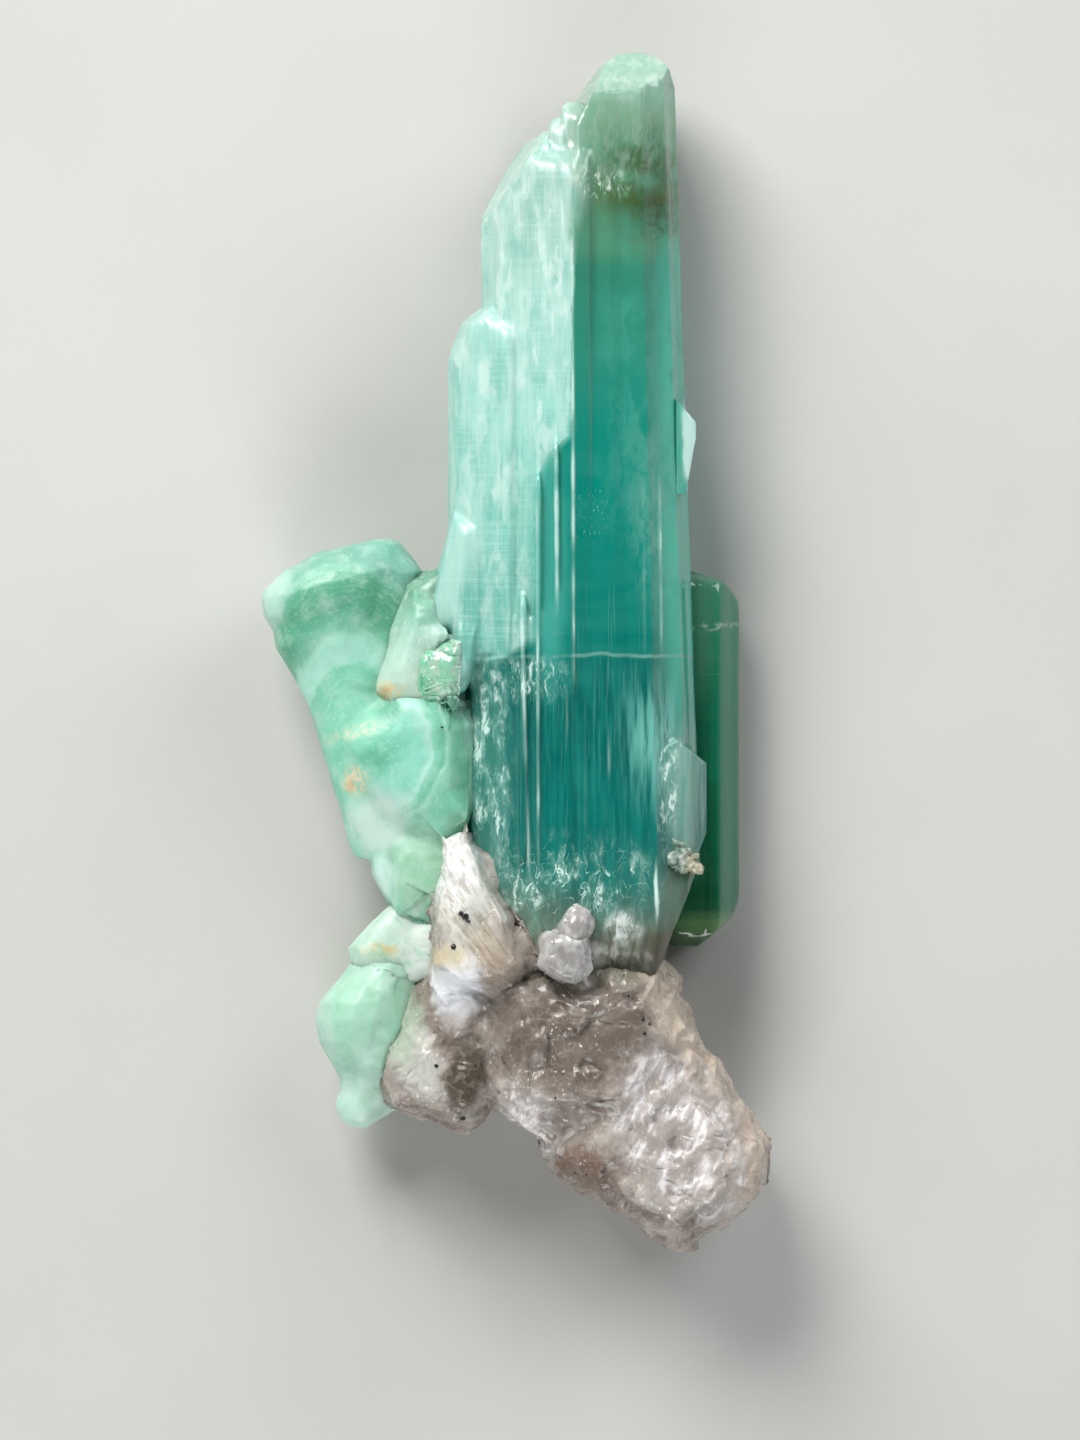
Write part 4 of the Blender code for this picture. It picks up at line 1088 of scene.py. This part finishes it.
def spray_foot(place, normal):
    """The notch between the spray and the lump, which is filled with crushed rock."""
    return window(place.y, -27.5, -21.5, 1.5) * window(place.x, -8, 3, 1.5)


matrix = dressed_copy("quartz_matrix", "quartz_matrix_rock")
divided(matrix, 4)
softened(matrix, spray_foot, 14)
grown_onto(matrix, ["main_crystal"], 1.1, overlap=0.4)
grown_onto(matrix, ["flared_crystal", "wedge_crystal", "rounded_crystal", "quartz_crystal"], 0.8)
relieved(matrix, rock_relief)
shaded(matrix, 30)
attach(matrix, "root")

druse = dressed_copy("druse", "feldspar_druse")
rebuilt(druse, 0.09, 1, mend=False)
grown_onto(druse, ["main_crystal"], 0.6)


def crust_relief(place, normal):
    """Tiny crystals, each leaning its own way."""
    return facets(place, 0.5, 0.6, 3.3) + 0.12 * ripple(place, (0.36, 0.36, 0.36), 9)


relieved(druse, crust_relief)
shaded(druse, 38)
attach(druse, "root")

# %% Material of the matrix
place = new_material("massive_quartz", matrix)
loose = shaken(place, (1.5, 1.5, 1.5), 0.8)
cloud = grain(place, (2.6, 2.6, 2.6), detail=6)
ROCK_TONES = [
    (0.30, "6c6057"), (0.42, "82766d"), (0.52, "988e86"), (0.62, "aba39b"), (0.72, "c0b9b1"),
]
base = ramp(cloud, ROCK_TONES)
white_flare = patch(loose, (-3.9, -19.2), (2.4, 5.4), 0.4, 0.3)
flare_crown = patch(loose, (-5.0, -16.6), (2.2, 2.6), 0.5)
beige_flare = patch(loose, (-2.2, -23.4), (2.2, 2.2), 0.5)
blue_white = patch(loose, (-4.6, -25.6), (1.7, 2.5), 0.5)
dark_core = patch(loose, (4.4, -29.2), (6.2, 4.4), 0.45)
dark_facet = patch(loose, (-3.9, -32.6), (1.4, 3.0), 0.4, -0.3)
plain_facet = maths("SUBTRACT", 1.0, dark_facet)
left_pale = patch(loose, (-7.5, -31.8), (1.7, 3.0), 0.4, 0.3)
right_rim = patch(loose, (13.6, -29.0), (2.2, 6.0), 0.5, 0.5)
far_rim = patch(loose, (17.9, -38.6), (1.6, 4.2), 0.4, -0.2)
brown_low = patch(loose, (4.6, -39.6), (3.4, 1.6), 0.5, -0.5)
root_shade = patch(loose, (6.0, -24.8), (6.0, 1.0), 0.5)
crushed_left = patch(loose, (1.2, -36.8), (1.9, 3.2), 0.4, 0.3)
crushed = strongest(patch(loose, (12.7, -37.4), (4.0, 6.4), 0.4, 0.5), crushed_left)
flake_sparkle = marks(place, (0.35, 1.5, 0.6), 0.46, 0.62, detail=5, turn=-0.5)
big_flake_sparkle = marks(place, (1.6, 3.0, 1.6), 0.46, 0.60, detail=4, turn=-0.5)
fibres = marks(place, (0.25, 2.8, 0.5), 0.46, 0.62, turn=0.59)
glints = marks(place, (0.22, 0.3, 0.22), 0.63, 0.68, detail=2)
glint_zone = marks(place, (2.2, 2.2, 2.2), 0.48, 0.6)
veins = threads(place, (1.2, 1.2, 1.2), 0.03)
ochre = patch(loose, (-5.3, -23.6), (1.3, 0.9), 0.6)
layers = [
    ("685c52", dark_core, 0.75),
    ("7b7a6a", root_shade, 0.7),
    ("cfd0c8", left_pale, 0.85),
    ("a6baa4", patch(loose, (-8.8, -28.8), (1.3, 3.0), 0.5), 0.8),
    ("4d4638", dark_facet, 0.9),
    ("ced0c8", white_flare),
    ("f2f5f6", flare_crown, 0.9),
    ("b0a392", beige_flare, 0.85),
    ("a3947f", white_flare, fibres, 0.6),
    ("94826c", beige_flare, fibres, 0.6),
    ("eef2f6", blue_white, 0.95),
    ("c8b8a6", right_rim, 0.85),
    ("cdbcab", far_rim, 0.9),
    ("6e5544", brown_low, 0.75),
    ("bab2ae", crushed, 0.65),
    # crushed quartz is whiter in itself; the flakes over it are painted sparkle, light reflected by
    # tiny faces
    ("d6d0ce", crushed, big_flake_sparkle, 0.8),
    ("fcfafb", crushed, big_flake_sparkle, flake_sparkle),
    ("d6cfc6", veins, 0.15),
    ("ece8e2", glint_zone, glints, plain_facet, 0.9),
    ("cfc08a", ochre, 0.6),
]
colour = painted(base, layers)
wet = rescaled(grain(place, (0.5, 0.5, 0.5)), 0.35, 0.65, 0.14, 0.5)
splinters = bumped(grain(place, (0.28, 0.4, 0.28), detail=4), 0.3, 0.05)
spread = 0.25, (1.0, 0.9, 0.8), 0.8
finish_material(colour, wet, QUARTZ_INDEX, 0.10, spread, splinters, absorbs=("c9bfb2", 60.0))
print("matrix:", len(place.id_data.nodes), "nodes")

# %% Material of the druse
place = new_material("feldspar_crust", druse)
cloud = grain(place, (0.6, 0.6, 0.6), detail=4)
tone = ramp(cloud, [(0.35, "5a8070"), (0.5, "88a294"), (0.65, "ced6cc")])
tone = painted(tone, [("c9c0a6", patch(place, (14.2, -16.6), (1.2, 1.4), 0.4), 0.8)])
bump = bumped(grain(place, (0.2, 0.2, 0.2)), 0.6, 0.08)
finish_material(tone, 0.3, 1.53, 0.3, bump=bump, absorbs=("d8d8cc", 30.0))
print("druse material ready")

# %% [markdown]
# ## Dark grains
#
# A few black grains, probably tiny tourmalines, sit on the pale rock. One is modelled as a small
# chipped ball and copied to each place, where a ray from above finds the rock's surface.

# %% Grains on the rock
GRAINS = [
    # x, y, half width, in mm
    (-3.85, -20.41, 0.36), (-4.70, -22.73, 0.26), (-6.10, -31.95, 0.20), (-4.08, -36.06, 0.22),
    (9.71, -28.24, 0.20), (10.25, -28.62, 0.14), (9.86, -29.32, 0.17), (-3.08, -31.88, 0.13),
    (8.62, -26.45, 0.14), (8.24, -24.98, 0.12), (1.80, -25.75, 0.13), (3.59, -32.42, 0.13),
    (3.05, -34.28, 0.12), (2.58, -29.71, 0.11), (4.60, -40.20, 0.12), (5.45, -40.30, 0.12),
    (-5.64, -5.92, 0.12), (-4.15, -20.15, 0.22), (-3.62, -20.75, 0.20),
]
rng = random.Random(7)
deselect_all()
bpy.ops.mesh.primitive_ico_sphere_add(subdivisions=2, radius=1.0 * MM, location=(0, 0, 0))
grain_model = bpy.context.active_object
with editing(grain_model):
    for i in range(7):
        draws = (rng.uniform(-1, 1), rng.uniform(-1, 1), rng.uniform(-1, 1))
        direction = Vector(draws).normalized()
        cut = direction * (0.72 * MM)
        bpy.ops.mesh.select_all(action="SELECT")
        bpy.ops.mesh.bisect(plane_co=cut, plane_no=direction, clear_outer=True, use_fill=True)


def surface_below(x, y, pieces):
    """The highest point of the pieces below (x, y) in mm."""
    above = Vector((x, y, 40)) * MM
    hits = [piece.ray_cast(above, Vector((0, 0, -1))) for piece in pieces]
    return max((point for hit, point, _, _ in hits if hit), key=lambda point: point.z)


grains = []
for x_mm, y_mm, half_width in GRAINS:
    seat = surface_below(x_mm, y_mm, [matrix, druse, main_crystal, *MILKY_PIECES.values()])
    mesh = grain_model.data.copy()
    axis = Vector((rng.random(), rng.random(), rng.random())).normalized()
    turn = Matrix.Rotation(rng.uniform(0, 6.28), 4, axis)
    scale = Matrix.Diagonal((half_width, half_width * rng.uniform(0.7, 1.1), half_width * 0.7, 1))
    mesh.transform(Matrix.Translation(seat) @ scale @ turn)
    grains.append(new_object("grain", mesh))
bpy.data.objects.remove(grain_model)
deselect_all()
for copy in grains:
    copy.select_set(True)
bpy.context.view_layer.objects.active = grains[0]
bpy.ops.object.join()
dark_grains = grains[0]
dark_grains.name = "dark_grains"
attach(dark_grains, "root")

place = new_material("schorl_grains", dark_grains)
tone = ramp(grain(place, (0.2, 0.2, 0.2)), [(0.4, "0c0a09"), (0.65, "241d19")])
finish_material(tone, 0.35, 1.64)
print("dark grains:", len(grains))

# %% [markdown]
# ## Sizes and finish
#
# Both boxes, of the plain specimen and of the dressed one, are printed. The dressed specimen
# has to stay in the box of the plain one.

# %% Sizes, and the last line
bpy.context.view_layer.update()
shown_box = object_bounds()
for label, box in (("plain", cad_box), ("dressed", shown_box)):
    print(label, [[round(value / MM, 2) for value in corner] for corner in box])
